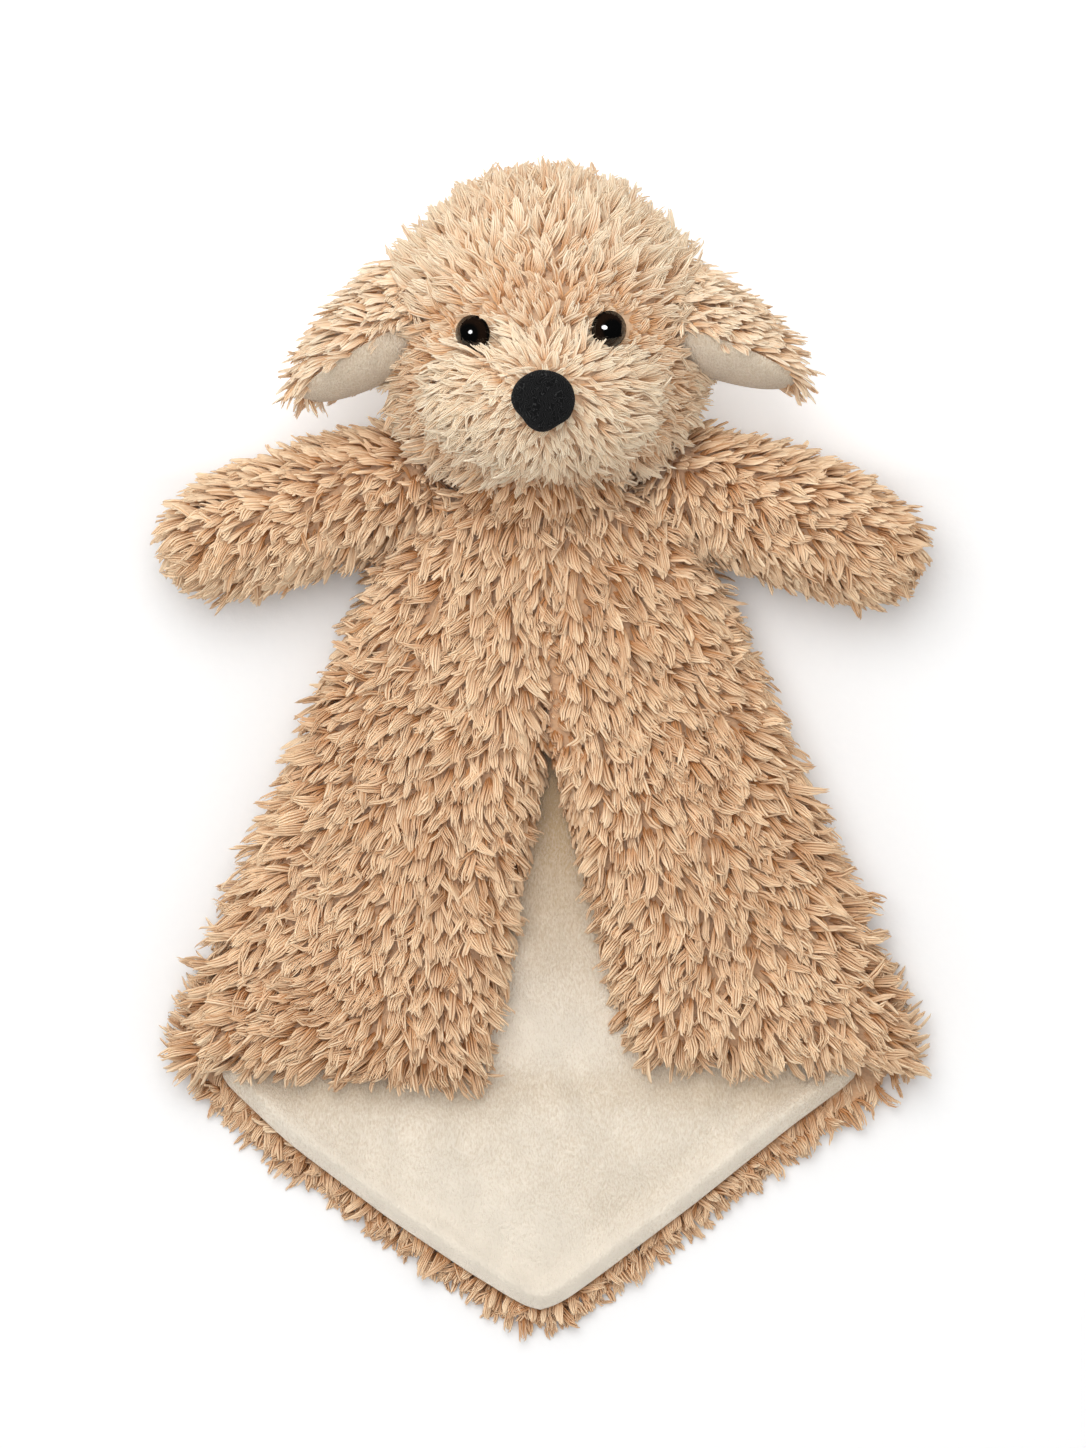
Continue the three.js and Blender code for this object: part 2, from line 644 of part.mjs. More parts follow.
for (const { name, side } of flaps) {
  const outer = armProfile(0);
  const inner = armProfile(armCoverThickness);
  const cover = new THREE.LatheGeometry([...outer, ...inner.reverse(), outer[0]], armSegments);
  addPiece(`arm_${name}_cover`, placeArm(cover, side), plushColour, 0.95);
  const filling = armProfile(armCoverThickness + gap);
  const stuffing = new THREE.LatheGeometry([new THREE.Vector2(0, 0), ...filling], armSegments);
  addPiece(`arm_${name}_stuffing`, placeArm(stuffing, side), stuffingColour, 1);
}

export default part;
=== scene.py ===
"""Dresses the comfort blanket's CAD solids in plush, lining, felt and buttons, on a white stage."""

import math

import bpy
import numpy as np
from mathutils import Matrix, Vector


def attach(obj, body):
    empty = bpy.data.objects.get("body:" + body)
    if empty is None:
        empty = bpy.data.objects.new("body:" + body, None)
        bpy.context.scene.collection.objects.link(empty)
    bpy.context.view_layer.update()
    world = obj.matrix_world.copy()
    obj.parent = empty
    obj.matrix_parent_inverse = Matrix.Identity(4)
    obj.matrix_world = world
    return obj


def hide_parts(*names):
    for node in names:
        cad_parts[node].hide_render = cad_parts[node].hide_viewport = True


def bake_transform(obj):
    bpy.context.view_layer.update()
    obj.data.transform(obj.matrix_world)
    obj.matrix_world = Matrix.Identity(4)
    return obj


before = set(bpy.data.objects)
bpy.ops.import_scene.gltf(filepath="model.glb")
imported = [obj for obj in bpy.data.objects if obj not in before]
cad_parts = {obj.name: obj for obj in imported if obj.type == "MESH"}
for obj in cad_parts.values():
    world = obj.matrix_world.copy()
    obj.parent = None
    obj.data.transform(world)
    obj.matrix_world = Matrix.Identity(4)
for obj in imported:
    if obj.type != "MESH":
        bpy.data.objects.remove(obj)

bl_info = {
    "name": "Plush Puppy Comfort Blanket",
    "version": (1, 0, 0),
    "blender": (4, 5, 0),
    "location": "View3D > Sidebar > Lovey",
    "description": "Builds a plush puppy comfort blanket lying on its back",
    "category": "Object",
}

# Every length below is in millimetres, in the frame of the CAD part, and MM turns it to metres.
MM = 0.001

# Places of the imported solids, in millimetres
NECK_Y = 78.5
HEM_Y = -107.5
TIP_Y = -184.5
SEAM_END_Y = 0.5
NECK_HALF = 43.0
HEM_HALF = 121.5
HEAD_MIDDLE = np.array([0.0, 134.0, 42.0])
HEAD_HALF = np.array([50.5, 50.5, 42.0])
MUZZLE_MIDDLE = np.array([0.0, 113.0, 66.2])
MUZZLE_HALF = np.array([37.0, 27.5, 25.0])
NOSE_MIDDLE = np.array([-0.5, 109.0, 88.0])
EYES = {-1: (-23.7, 130.8), 1: (21.0, 132.2)}
# Middle in plan and half width of what the pile leaves of each eye to be seen
EYES_SHOWN = (((-25.5, 132.6), 3.1), ((21.2, 132.6), 5.3))
ARM_ROOT = np.array([41.0, 85.5, 20.0])
ARM_DROOPS = {-1: math.radians(16), 1: math.radians(18)}
EAR_ROOT = np.array([50.4, 127.8, 44.0])
EAR_DROOPS = {-1: math.radians(29), 1: math.radians(20)}
EAR_LEAN = math.radians(14)
CORNERS = {-1: (20.0, 4.5), 1: (31.0, -2.2)}

# The lining's edge as it lies in the photo: its left side bows out, and its tip is rounded
LINING_EDGE = np.array(
    [
        [-33, 78.5], [-107, -109], [-84, -131], [-51, -155.8],
        [-26, -172.6], [-11, -181.8], [-6, -184.5], [-1.5, -185.6],
        [3, -184.3], [8, -181.6], [18, -174.4], [50, -150.2], [80, -126], [104.5, -108], [33, 78.5],
    ]
)
SIDES = {-1: "left", 1: "right"}

# The pile turns in a whorl on the left front
WHORL = (-73, -81)
WHORL_SPREAD = 260


def linear(code):
    """An sRGB hex colour as linear red, green, blue and alpha."""
    parts = [int(code[i : i + 2], 16) / 255 for i in (1, 3, 5)]
    return [p / 12.92 if p <= 0.04045 else ((p + 0.055) / 1.055) ** 2.4 for p in parts] + [1.0]


def colour(code, name, description):
    return bpy.props.FloatVectorProperty(
        name=name, description=description, subtype="COLOR", size=4, min=0, max=1, default=linear(code)
    )


def length(value, name, description):
    return bpy.props.FloatProperty(
        name=name, description=description, unit="LENGTH", min=0, default=value * MM
    )


class PileSettings(bpy.types.PropertyGroup):
    lock_length: length(13.0, "Lock length", "Length of one lock of the shaggy pile")
    lock_width: length(3.6, "Lock width", "Width of one lock of the shaggy pile")
    lock_spacing: length(3.05, "Lock spacing", "Distance between the roots of neighbouring locks")
    root: colour("#C18754", "Root colour", "Colour of the body's pile at its roots")
    tip: colour("#FFE4C1", "Tip colour", "Colour of the body's pile at its tips")
    head_root: colour("#E0AD7C", "Head root colour", "Colour of the head's pile at its roots")
    head_tip: colour("#FFEFD5", "Head tip colour", "Colour of the head's pile at its tips")


class LiningSettings(bpy.types.PropertyGroup):
    # the cream is the lining's own colour, which also shows where a highlight is painted; the darker colour
    # is that of the nap's darker fibres and of the painted shade
    cream: colour("#F6EAD8", "Lining colour", "Colour of the lining's nap brushed towards the light")
    dark_nap_and_painted_shade: colour("#C4A780", "Lining shade", "Colour of the lining's nap brushed away from the light")
    thickness: length(2.2, "Lining thickness", "Thickness of the lining with its nap")


class FaceSettings(bpy.types.PropertyGroup):
    felt: colour("#070708", "Nose colour", "Colour of the nose's felt")
    button: colour("#060606", "Eye colour", "Colour of the middle of the button eyes")
    ring: colour("#1B110B", "Eye ring colour", "Colour of the ring round the middle of the eyes")


class StageSettings(bpy.types.PropertyGroup):
    glow: bpy.props.FloatProperty(
        name="Floor light", description="Strength of the floor's own light by the head", default=0.36, min=0
    )
    key_strength: bpy.props.FloatProperty(
        name="Key light", description="Radiance of the soft light at the upper left", default=3.1, min=0
    )
    sky_strength: bpy.props.FloatProperty(
        name="Surrounding light", description="Strength of the even light all round", default=0.68, min=0
    )


# Small tools


def select_only(*obs):
    bpy.ops.object.select_all(action="DESELECT")
    for ob in obs:
        ob.select_set(True)
    bpy.context.view_layer.objects.active = obs[0]


def points_of(ob):
    found = np.empty(len(ob.data.vertices) * 3)
    ob.data.vertices.foreach_get("co", found)
    return found.reshape(-1, 3) / MM


def set_points(ob, points):
    ob.data.vertices.foreach_set("co", (points * MM).astype(np.float32).ravel())
    ob.data.update()


def apply_modifiers(ob):
    select_only(ob)
    for modifier in list(ob.modifiers):
        bpy.ops.object.modifier_apply(modifier=modifier.name)


def smooth(ob, levels=1):
    """Finishes a piece with a subdivision surface, and shades it smooth."""
    if levels:
        modifier = ob.modifiers.new("Smooth", "SUBSURF")
        modifier.levels = modifier.render_levels = levels
        apply_modifiers(ob)
    ob.data.shade_smooth()


def mix(a, b, t):
    return a + (b - a) * t


def step(low, high, x):
    t = np.clip((x - low) / (high - low), 0, 1)
    return t * t * (3 - 2 * t)


def unit(v):
    return v / np.maximum(np.linalg.norm(v, axis=-1, keepdims=True), 1e-9)


def eased(t):
    return (1 - np.cos(np.pi * t)) / 2


def edge_distance(xy, outline, closed=True):
    """Distance in plan to the nearest side of an outline."""
    nearest = np.full(len(xy), np.inf)
    ends = np.roll(outline, -1, axis=0) if closed else outline[1:]
    for a, b in zip(outline, ends):
        run = b - a
        t = np.clip((xy - a) @ run / (run @ run), 0, 1)
        nearest = np.minimum(nearest, np.linalg.norm(xy - a - t[:, None] * run, axis=1))
    return nearest


def rounded(distance, radius):
    left = np.maximum(1 - distance / radius, 0)
    return np.sqrt(np.maximum(1 - left * left, 0))


def swirl(xy, scale, seed):
    """A smooth wandering value between about -1 and 1, for uneven combing."""
    rng = np.random.default_rng(seed)
    total = np.zeros(len(xy))
    for _ in range(5):
        direction = rng.normal(size=xy.shape[1])
        total += np.sin(xy @ direction / scale + rng.uniform(0, 6.3))
    return total / 3


def soft_panel(name, plan, low, high, columns, rows):
    """A closed soft panel: plan gives its outline from (0..1, 0..1), and low and high are its two faces."""
    bpy.ops.object.select_all(action="DESELECT")
    bpy.ops.mesh.primitive_grid_add(x_subdivisions=columns, y_subdivisions=rows, size=2)
    ob = bpy.context.object
    ob.name = ob.data.name = name
    bpy.ops.object.mode_set(mode="EDIT")
    bpy.ops.mesh.select_all(action="SELECT")
    bpy.ops.mesh.extrude_region_move(TRANSFORM_OT_translate={"value": (0, 0, 1)})
    bpy.ops.object.mode_set(mode="OBJECT")
    raw = points_of(ob) * MM
    u, v = (raw[:, 0] + 1) / 2, (1 - raw[:, 1]) / 2
    rim = (np.minimum(u, 1 - u) < 1e-4) | (np.minimum(v, 1 - v) < 1e-4)
    xy = plan(eased(u), eased(v))
    bottom, top = low(xy), high(xy)
    middle = (bottom + top) / 2
    z = np.where(rim, middle + (raw[:, 2] - 0.5) * 0.2, np.where(raw[:, 2] > 0.5, top, bottom))
    set_points(ob, np.column_stack([xy, z]))
    face_outwards(ob)
    return ob


def paint_shade_and_highlight(ob, share):
    """Paints light and shade into a piece of lining's colour: its share of the darker colour (0..1), raised
    as painted shade and lowered where a highlight is painted.
    """
    layer = ob.data.attributes.new("painted_shade_and_highlight", "FLOAT", "POINT")
    layer.data.foreach_set("value", np.broadcast_to(share, len(ob.data.vertices)).astype(np.float32))


def face_outwards(ob):
    select_only(ob)
    bpy.ops.object.mode_set(mode="EDIT")
    bpy.ops.mesh.select_all(action="SELECT")
    bpy.ops.mesh.remove_doubles(threshold=1e-6)
    bpy.ops.mesh.normals_make_consistent(inside=False)
    bpy.ops.object.mode_set(mode="OBJECT")


def unit_ball(name, segments, rings):
    """A ball of radius 1 to be shaped, and its points."""
    bpy.ops.object.select_all(action="DESELECT")
    bpy.ops.mesh.primitive_uv_sphere_add(segments=segments, ring_count=rings, radius=1)
    ob = bpy.context.object
    ob.name = ob.data.name = name
    return ob, points_of(ob) * MM


def ball(name, middle, half, segments, rings):
    """A closed ball of the given half sizes, placed in its mesh."""
    ob, raw = unit_ball(name, segments, rings)
    set_points(ob, raw * half + middle)
    return ob


def stuffed(ob, voxel, cap):
    """Fills a closed cover: it is remeshed and blown up a little by the cloth simulation."""
    modifier = ob.modifiers.new("Remesh", "REMESH")
    modifier.mode = "VOXEL"
    modifier.voxel_size = voxel * MM
    apply_modifiers(ob)
    before = points_of(ob)
    modifier = ob.modifiers.new("Cloth", "CLOTH")
    modifier.settings.use_pressure = True
    modifier.settings.uniform_pressure_force = 4
    modifier.settings.effector_weights.gravity = 0
    scene = bpy.context.scene
    for number in range(1, 21):
        scene.frame_set(number)
    apply_modifiers(ob)
    scene.frame_set(1)
    move = points_of(ob) - before
    far = np.linalg.norm(move, axis=1, keepdims=True)
    set_points(ob, before + move * np.minimum(1, cap / np.maximum(far, 1e-6)))
    smooth(ob, 1)


# Materials


def add(tree, kind, links=None, **settings):
    """Adds a node: links holds values or sockets by input, and settings its own properties."""
    node = tree.nodes.new(kind)
    for key, value in settings.items():
        setattr(node, key, value)
    for key, value in (links or {}).items():
        if isinstance(value, bpy.types.NodeSocket):
            tree.links.new(value, node.inputs[key])
        else:
            node.inputs[key].default_value = value
    return node


def new_material(name, **sockets):
    material = bpy.data.materials.new(name)
    material.use_nodes = True
    tree = material.node_tree
    tree.nodes.clear()
    shader = add(tree, "ShaderNodeBsdfPrincipled", sockets)
    add(tree, "ShaderNodeOutputMaterial", {"Surface": shader.outputs[0]})
    return material, tree, shader


def object_place(tree):
    return add(tree, "ShaderNodeTexCoord").outputs["Object"]


def maths(tree, operation, *values):
    return add(tree, "ShaderNodeMath", dict(enumerate(values)), operation=operation).outputs[0]


def vector_maths(tree, operation, *values):
    return add(tree, "ShaderNodeVectorMath", dict(enumerate(values)), operation=operation).outputs[0]


def noise(tree, place, scale, detail, roughness=0.5, output=0, **settings):
    """A noise pattern: its output 0 is a value, and "Color" a direction."""
    links = {"Vector": place, "Scale": scale, "Detail": detail, "Roughness": roughness}
    return add(tree, "ShaderNodeTexNoise", links, **settings).outputs[output]


def remap(tree, value, start, end, low=0.0, high=1.0, **settings):
    """A value brought from the range start..end to low..high."""
    links = {"Value": value, "From Min": start, "From Max": end, "To Min": low, "To Max": high}
    return add(tree, "ShaderNodeMapRange", links, **settings).outputs[0]


def paint(tree, shader, share, first, second):
    """Colours a material from the first colour to the second by a share of 0..1."""
    colours = {0: share, 6: tuple(first), 7: tuple(second)}
    blend = add(tree, "ShaderNodeMix", colours, data_type="RGBA", clamp_factor=True)
    tree.links.new(blend.outputs[2], shader.inputs["Base Color"])


def emboss(tree, shader, height, strength, distance):
    """Raises a material's surface by a pattern."""
    bump = add(tree, "ShaderNodeBump", {"Height": height, "Strength": strength, "Distance": distance})
    tree.links.new(bump.outputs[0], shader.inputs["Normal"])


CELLS = 8
SOFTNESS = 0.5  # share by which a lock is lit like the coat round it, as light soaks through its fibres


def pile_material(name, root, tip):
    """Combed polyester pile: matt, softly lit from its side, streaked along its strands.

    The pile's own map holds a square of cells, and each lock lies in one. A cell's row gives how
    pale its lock is, and the place in the cell gives root to tip and the strands across it.
    """
    material, tree, shader = new_material(name, **{"Roughness": 0.9, "Specular IOR Level": 0.1})
    place = add(tree, "ShaderNodeUVMap", uv_map="OFBake").outputs[0]
    cells = vector_maths(tree, "MULTIPLY", place, (CELLS, CELLS, 1))
    paleness = add(tree, "ShaderNodeSeparateXYZ", {0: vector_maths(tree, "FLOOR", cells)}).outputs[1]
    along = add(tree, "ShaderNodeSeparateXYZ", {0: vector_maths(tree, "FRACTION", cells)}).outputs[1]
    # streaks about 0.4 mm wide, finer than the strands that they run along
    stretched = vector_maths(tree, "MULTIPLY", cells, (10, 0.9, 1))
    streaks = noise(tree, stretched, 1.0, 2.0, 0.6, noise_dimensions="2D")
    climb = remap(tree, along, 0.0, 0.8, interpolation_type="SMOOTHSTEP")
    from_streaks = maths(tree, "MULTIPLY_ADD", streaks, 1.5, -0.75)
    from_row = maths(tree, "MULTIPLY_ADD", paleness, 0.075, -0.26)
    share = maths(tree, "MULTIPLY_ADD", climb, 0.72, maths(tree, "ADD", from_streaks, from_row))
    paint(tree, shader, share, root, tip)
    emboss(tree, shader, streaks, 0.25, 0.0006)
    return material


def backing_material(name, root):
    """Knitted polyester backing seen between the locks: dull, in the pile's root colour."""
    material, tree, shader = new_material(name, **{"Roughness": 0.95, "Sheen Weight": 0.1})
    # loops of the knit, 1.2 mm apart
    loops = add(tree, "ShaderNodeTexVoronoi", {"Vector": object_place(tree), "Scale": 830.0}).outputs[0]
    paint(tree, shader, loops, root, [c * 0.8 for c in root[:3]] + [1])
    emboss(tree, shader, loops, 0.6, 0.0006)
    return material


def lining_material(name, cream, dark_nap_and_painted_shade):
    """Minky knit with a short brushed nap: velvety at grazing angles, with fine fibre marks, and with the
    painted shade and painted highlight that its pieces carry.
    """
    material, tree, shader = new_material(
        name, **{"Roughness": 0.78, "Sheen Weight": 0.35, "Sheen Roughness": 0.4, "Specular IOR Level": 0.25}
    )
    place = object_place(tree)
    drift = noise(tree, place, 60.0, 1.0, output="Color")
    bent = vector_maths(tree, "MULTIPLY_ADD", drift, (0.006, 0.006, 0.006), place)
    # fibre marks about 0.5 mm wide and 1.3 mm long, along the blanket
    stretched = add(tree, "ShaderNodeMapping", {0: bent, "Scale": (1900, 800, 1300)}).outputs[0]
    fibres = noise(tree, stretched, 1.0, 3.0, 0.65)
    patches = noise(tree, place, 45.0, 2.0)
    # painted shade and painted highlight, carried by each piece of lining
    away = add(tree, "ShaderNodeAttribute", attribute_name="painted_shade_and_highlight").outputs["Fac"]
    marks = remap(tree, fibres, 0.36, 0.64, 0.1, -0.34)
    uneven = maths(tree, "MULTIPLY_ADD", patches, 0.24, marks)
    paint(tree, shader, maths(tree, "ADD", uneven, away), cream, dark_nap_and_painted_shade)
    emboss(tree, shader, fibres, 1.0, 0.0009)
    return material


def felt_material(name, felt):
    """Needle-felted black wool: no gloss, with pale hair-fine fibres lying across it."""
    material, tree, shader = new_material(
        name, **{"Roughness": 0.95, "Sheen Weight": 0.05, "Sheen Roughness": 0.5, "Specular IOR Level": 0.1}
    )
    place = object_place(tree)
    warp = noise(tree, place, 220.0, 2.0, output="Color")
    bent = vector_maths(tree, "MULTIPLY_ADD", warp, (0.01, 0.01, 0.01), place)
    wave = {"Vector": bent, "Scale": 420.0, "Distortion": 6.0, "Detail": 3.0}
    fibres = add(tree, "ShaderNodeTexWave", wave).outputs[1]
    fine = remap(tree, fibres, 0.86, 1.0, 0.0, 0.35)
    paint(tree, shader, fine, felt, tuple(mix(np.array(felt[:3]), 0.12, 0.7)) + (1,))
    emboss(tree, shader, noise(tree, place, 1500.0, 3.0), 0.8, 0.0006)
    return material


def eye_material(name, button, ring):
    """Polished acrylic button: black middle, dark brown ring and black rim."""
    material, tree, shader = new_material(name, **{"Roughness": 0.05, "Specular IOR Level": 0.5})
    out = add(tree, "ShaderNodeAttribute", attribute_name="from_middle").outputs["Fac"]
    ramp = add(tree, "ShaderNodeValToRGB", {0: out})
    stops = ramp.color_ramp.elements
    stops[0].position, stops[0].color = 0.0, tuple(button)
    stops[1].position, stops[1].color = 1.0, tuple(button)
    for place, tint in ((0.5, button), (0.66, ring), (0.86, ring), (0.94, button)):
        stops.new(place).color = tuple(tint)
    tree.links.new(ramp.outputs[0], shader.inputs["Base Color"])
    return material


def plain_grain(name, code, roughness, scale, code_2):
    """A material with a fine even grain, for pieces inside the toy and the floor."""
    material, tree, shader = new_material(name, Roughness=roughness)
    grain = noise(tree, object_place(tree), scale, 4.0)
    paint(tree, shader, grain, linear(code), linear(code_2))
    emboss(tree, shader, grain, 0.3, 0.0005)
    return material


def floor_material(name, settings):
    """White card that glows round the head, a painted glow that washes out the shadows there."""
    material = plain_grain(name, "#F4F4F4", 0.9, 300.0, "#F2F2F2")
    tree = material.node_tree
    shader = tree.nodes["Principled BSDF"]
    # the painted glow rises across the floor towards the head
    up = add(tree, "ShaderNodeSeparateXYZ", {0: object_place(tree)}).outputs[1]
    glow = remap(tree, up, 0.085, 0.115, 0.03, settings.glow)
    tree.links.new(glow, shader.inputs["Emission Strength"])
    shader.inputs["Emission Color"].default_value = (1, 1, 1, 1)
    shader.inputs["Specular IOR Level"].default_value = 0.0
    return material


made = {}


def material(kind):
    """Each material is made when a piece first asks for it."""
    scene = bpy.context.scene
    pile, lining, face = scene.lovey_pile, scene.lovey_lining, scene.lovey_face

    def backing(name, root, tip):
        return backing_material(name, mix(np.array(root), np.array(tip), 0.3))

    makers = {
        "pile": lambda: pile_material("combed polyester pile, body", pile.root, pile.tip),
        "head_pile": lambda: pile_material("combed polyester pile, head", pile.head_root, pile.head_tip),
        "backing": lambda: backing("knitted polyester backing, body", pile.root, pile.tip),
        "head_backing": lambda: backing("knitted polyester backing, head", pile.head_root, pile.head_tip),
        "lining": lambda: lining_material("brushed minky lining", lining.cream, lining.dark_nap_and_painted_shade),
        "felt": lambda: felt_material("needle-felted black wool", face.felt),
        "eye": lambda: eye_material("polished acrylic button", face.button, face.ring),
        "stuffing": lambda: plain_grain("loose polyester filling", "#F5F3EE", 1.0, 900.0, "#DAD6CC"),
        "washer": lambda: plain_grain("moulded polypropylene washer", "#E0E0DE", 0.45, 2500.0, "#D2D2D0"),
        "floor": lambda: floor_material("matt white card glowing round the head", scene.lovey_stage),
    }
    if kind not in made:
        made[kind] = makers[kind]()
    return made[kind]


# Pile


def strand_shape():
    """One strand of pile: a tapered tube of three sides, closed at its root and pointed at its tip."""
    bpy.ops.object.select_all(action="DESELECT")
    bpy.ops.mesh.primitive_grid_add(x_subdivisions=3, y_subdivisions=4, size=1)
    ob = bpy.context.object
    raw = points_of(ob) * MM + 0.5
    turn = np.radians(90 + 120 * np.rint(raw[:, 0] * 3))
    along = np.interp(raw[:, 1], [0, 0.25, 0.5, 0.75, 1], [0, 0.38, 0.74, 0.94, 1])
    radius = np.interp(along, [0, 0.38, 0.74, 0.94, 1], [0.75, 0.97, 1.0, 0.82, 0])
    set_points(ob, np.column_stack([np.cos(turn) * radius, along, np.sin(turn) * radius]))
    bpy.ops.object.mode_set(mode="EDIT")
    bpy.ops.mesh.select_all(action="SELECT")
    bpy.ops.mesh.remove_doubles(threshold=1e-7)
    bpy.ops.mesh.fill_holes(sides=0)
    bpy.ops.mesh.select_all(action="SELECT")
    bpy.ops.mesh.normals_make_consistent(inside=False)
    bpy.ops.object.mode_set(mode="OBJECT")
    points = points_of(ob)
    faces = [list(p.vertices) for p in ob.data.polygons]
    bpy.data.objects.remove(ob)
    return points, faces


def lock_shape(strand, count, seed):
    """One lock of pile: strands side by side that swell apart and run together again at the tip.

    Gives, for each point, its place across (-1..1), along (0..1) and through, and the faces.
    """
    rng = np.random.default_rng(seed)
    points, faces = strand
    all_points, all_faces = [], []
    looped = seed % 2
    for k in range(count):
        place = (k - (count - 1) / 2) / max(count / 2, 1)
        # in a looped lock the outer strands meet at the tip, above shorter ones
        reach = 1 - rng.uniform(0, 0.1) - (0.2 * (1 - abs(place)) if looped else 0.1 * place**2)
        s = points[:, 1]
        spread = np.interp(s, [0, 0.38, 0.74, 0.94, 1], [0.45, 0.9, 1.0, 0.78, 0.3 if looped else 0.62])
        sway = rng.uniform(-0.13, 0.13) * np.sin(np.pi * s) + rng.uniform(-0.1, 0.1) * s
        size = 1.16 / count
        x = place * spread + sway + points[:, 0] * size
        crown = 0.3 * place**2 if looped else 0.36 * (1 - place**2)
        z = crown + rng.uniform(-0.08, 0.08) + points[:, 2] * size
        all_points.append(np.column_stack([x, s * reach, z]))
        all_faces += [[v + k * len(points) for v in face] for face in faces]
    return np.concatenate(all_points), all_faces


lock_shapes = {}


def sample(ob, spacing, seed, where):
    """Root places spread evenly over the faces of a skin, at about the given spacing, with their normals."""
    rng = np.random.default_rng(seed)
    mesh = ob.data
    mesh.calc_loop_triangles()
    corners = np.empty(len(mesh.loop_triangles) * 3, np.int32)
    mesh.loop_triangles.foreach_get("vertices", corners)
    corners = corners.reshape(-1, 3)
    points = points_of(ob)
    normals = np.empty(len(mesh.vertices) * 3)
    mesh.vertices.foreach_get("normal", normals)
    normals = normals.reshape(-1, 3)
    a, b, c = (points[corners[:, k]] for k in range(3))
    size = np.linalg.norm(np.cross(b - a, c - a), axis=1) / 2
    count = int(size.sum() / spacing**2 * 5)
    pick = rng.choice(len(size), count, p=size / size.sum())
    u, v = rng.random((2, count, 1))
    u, v = np.where(u + v > 1, 1 - u, u), np.where(u + v > 1, 1 - v, v)
    places = a[pick] + u * (b[pick] - a[pick]) + v * (c[pick] - a[pick])
    at_a, at_b, at_c = (normals[corners[pick, k]] for k in range(3))
    facing = unit(at_a * (1 - u - v) + at_b * u + at_c * v)
    kept = where(places, facing)
    places, facing = places[kept], facing[kept]
    cells, chosen = {}, []
    reach = spacing * 0.86
    keys = np.floor(places / reach).astype(int)
    around = [(i, j, k) for i in (-1, 0, 1) for j in (-1, 0, 1) for k in (-1, 0, 1)]
    for n, (key, p) in enumerate(zip(map(tuple, keys), places.tolist())):
        near = False
        for i, j, k in around:
            for q in cells.get((key[0] + i, key[1] + j, key[2] + k), ()):
                if (p[0] - q[0]) ** 2 + (p[1] - q[1]) ** 2 + (p[2] - q[2]) ** 2 < reach * reach:
                    near = True
                    break
            if near:
                break
        if not near:
            cells.setdefault(key, []).append(p)
            chosen.append(n)
    return places[chosen], facing[chosen]


def lay_locks(roots, normals, flow, size, seed):
    """Lays one bent lock at each root, of the lock shapes by turns."""
    shapes = lock_shapes[size["shape"]]
    parts = []
    for k, (shape, faces) in enumerate(shapes):
        turn = slice(k, None, len(shapes))
        own = {key: v[turn] if isinstance(v, np.ndarray) else v for key, v in size.items()}
        parts.append(lay_alike(shape, faces, roots[turn], normals[turn], flow[turn], own, seed + 100 * k))
    return parts


def swung(first, second, angle):
    """Two directions at right angles, turned in their plane, the first towards the second."""
    cos, sin = np.cos(angle), np.sin(angle)
    return first * cos + second * sin, second * cos - first * sin


def lay_alike(shape, faces, roots, normals, flow, size, seed):
    """Lays copies of one lock shape. size holds lengths, widths, lifts, ends and paleness per lock."""
    rng = np.random.default_rng(seed)
    count = len(roots)
    along = unit(flow - normals * np.sum(flow * normals, axis=1, keepdims=True))
    across = np.cross(along, normals)
    turn = rng.normal(0, size.get("stray", 0.22), (count, 1))
    along, across = swung(along, across, turn)
    tilt = rng.normal(0, 0.25, (count, 1))
    normals, across = swung(normals, across, tilt)
    lengths = (size["length"] * rng.uniform(0.78, 1.2, count))[:, None]
    widths = (size["width"] * rng.uniform(0.75, 1.25, count))[:, None] / 2
    low = (size["lift"] + rng.normal(0, 0.12, count))[:, None]
    high = (size["end"] + rng.normal(0, 0.15, count))[:, None]
    high = np.where(np.abs(high - low) < 0.05, low - 0.05, high)
    s = shape[None, :, 1]
    angle = low + (high - low) * s
    forward = (np.sin(angle) - np.sin(low)) / (high - low) * lengths
    upward = -(np.cos(angle) - np.cos(low)) / (high - low) * lengths
    curl = rng.normal(0, 0.2, (count, 1)) * lengths * s**2.2
    curl += rng.normal(0, 0.05, (count, 1)) * lengths * np.sin(5.5 * s + rng.uniform(0, 6.3, (count, 1)))
    thick = shape[None, :, 2] * widths
    x = shape[None, :, 0] * widths + curl
    y = forward - thick * np.sin(angle)
    z = upward + thick * np.cos(angle)
    points = (
        roots[:, None, :]
        + across[:, None, :] * x[..., None]
        + along[:, None, :] * y[..., None]
        + normals[:, None, :] * (z - 0.8)[..., None]
    )
    column = rng.integers(0, CELLS, (count, 1))
    row = np.clip(np.rint(size["pale"] + rng.normal(0, 1.3, count)), 0, CELLS - 1)[:, None]
    spread = size.get("spread", 0.42)
    u = (column + 0.5 + spread * shape[None, :, 0]) / CELLS
    v = (row + 0.04 + 0.92 * np.clip(s, 0, 1)) / CELLS
    return points, np.stack([u, v], axis=2), faces, np.repeat(normals[:, None, :], len(shape), axis=1)


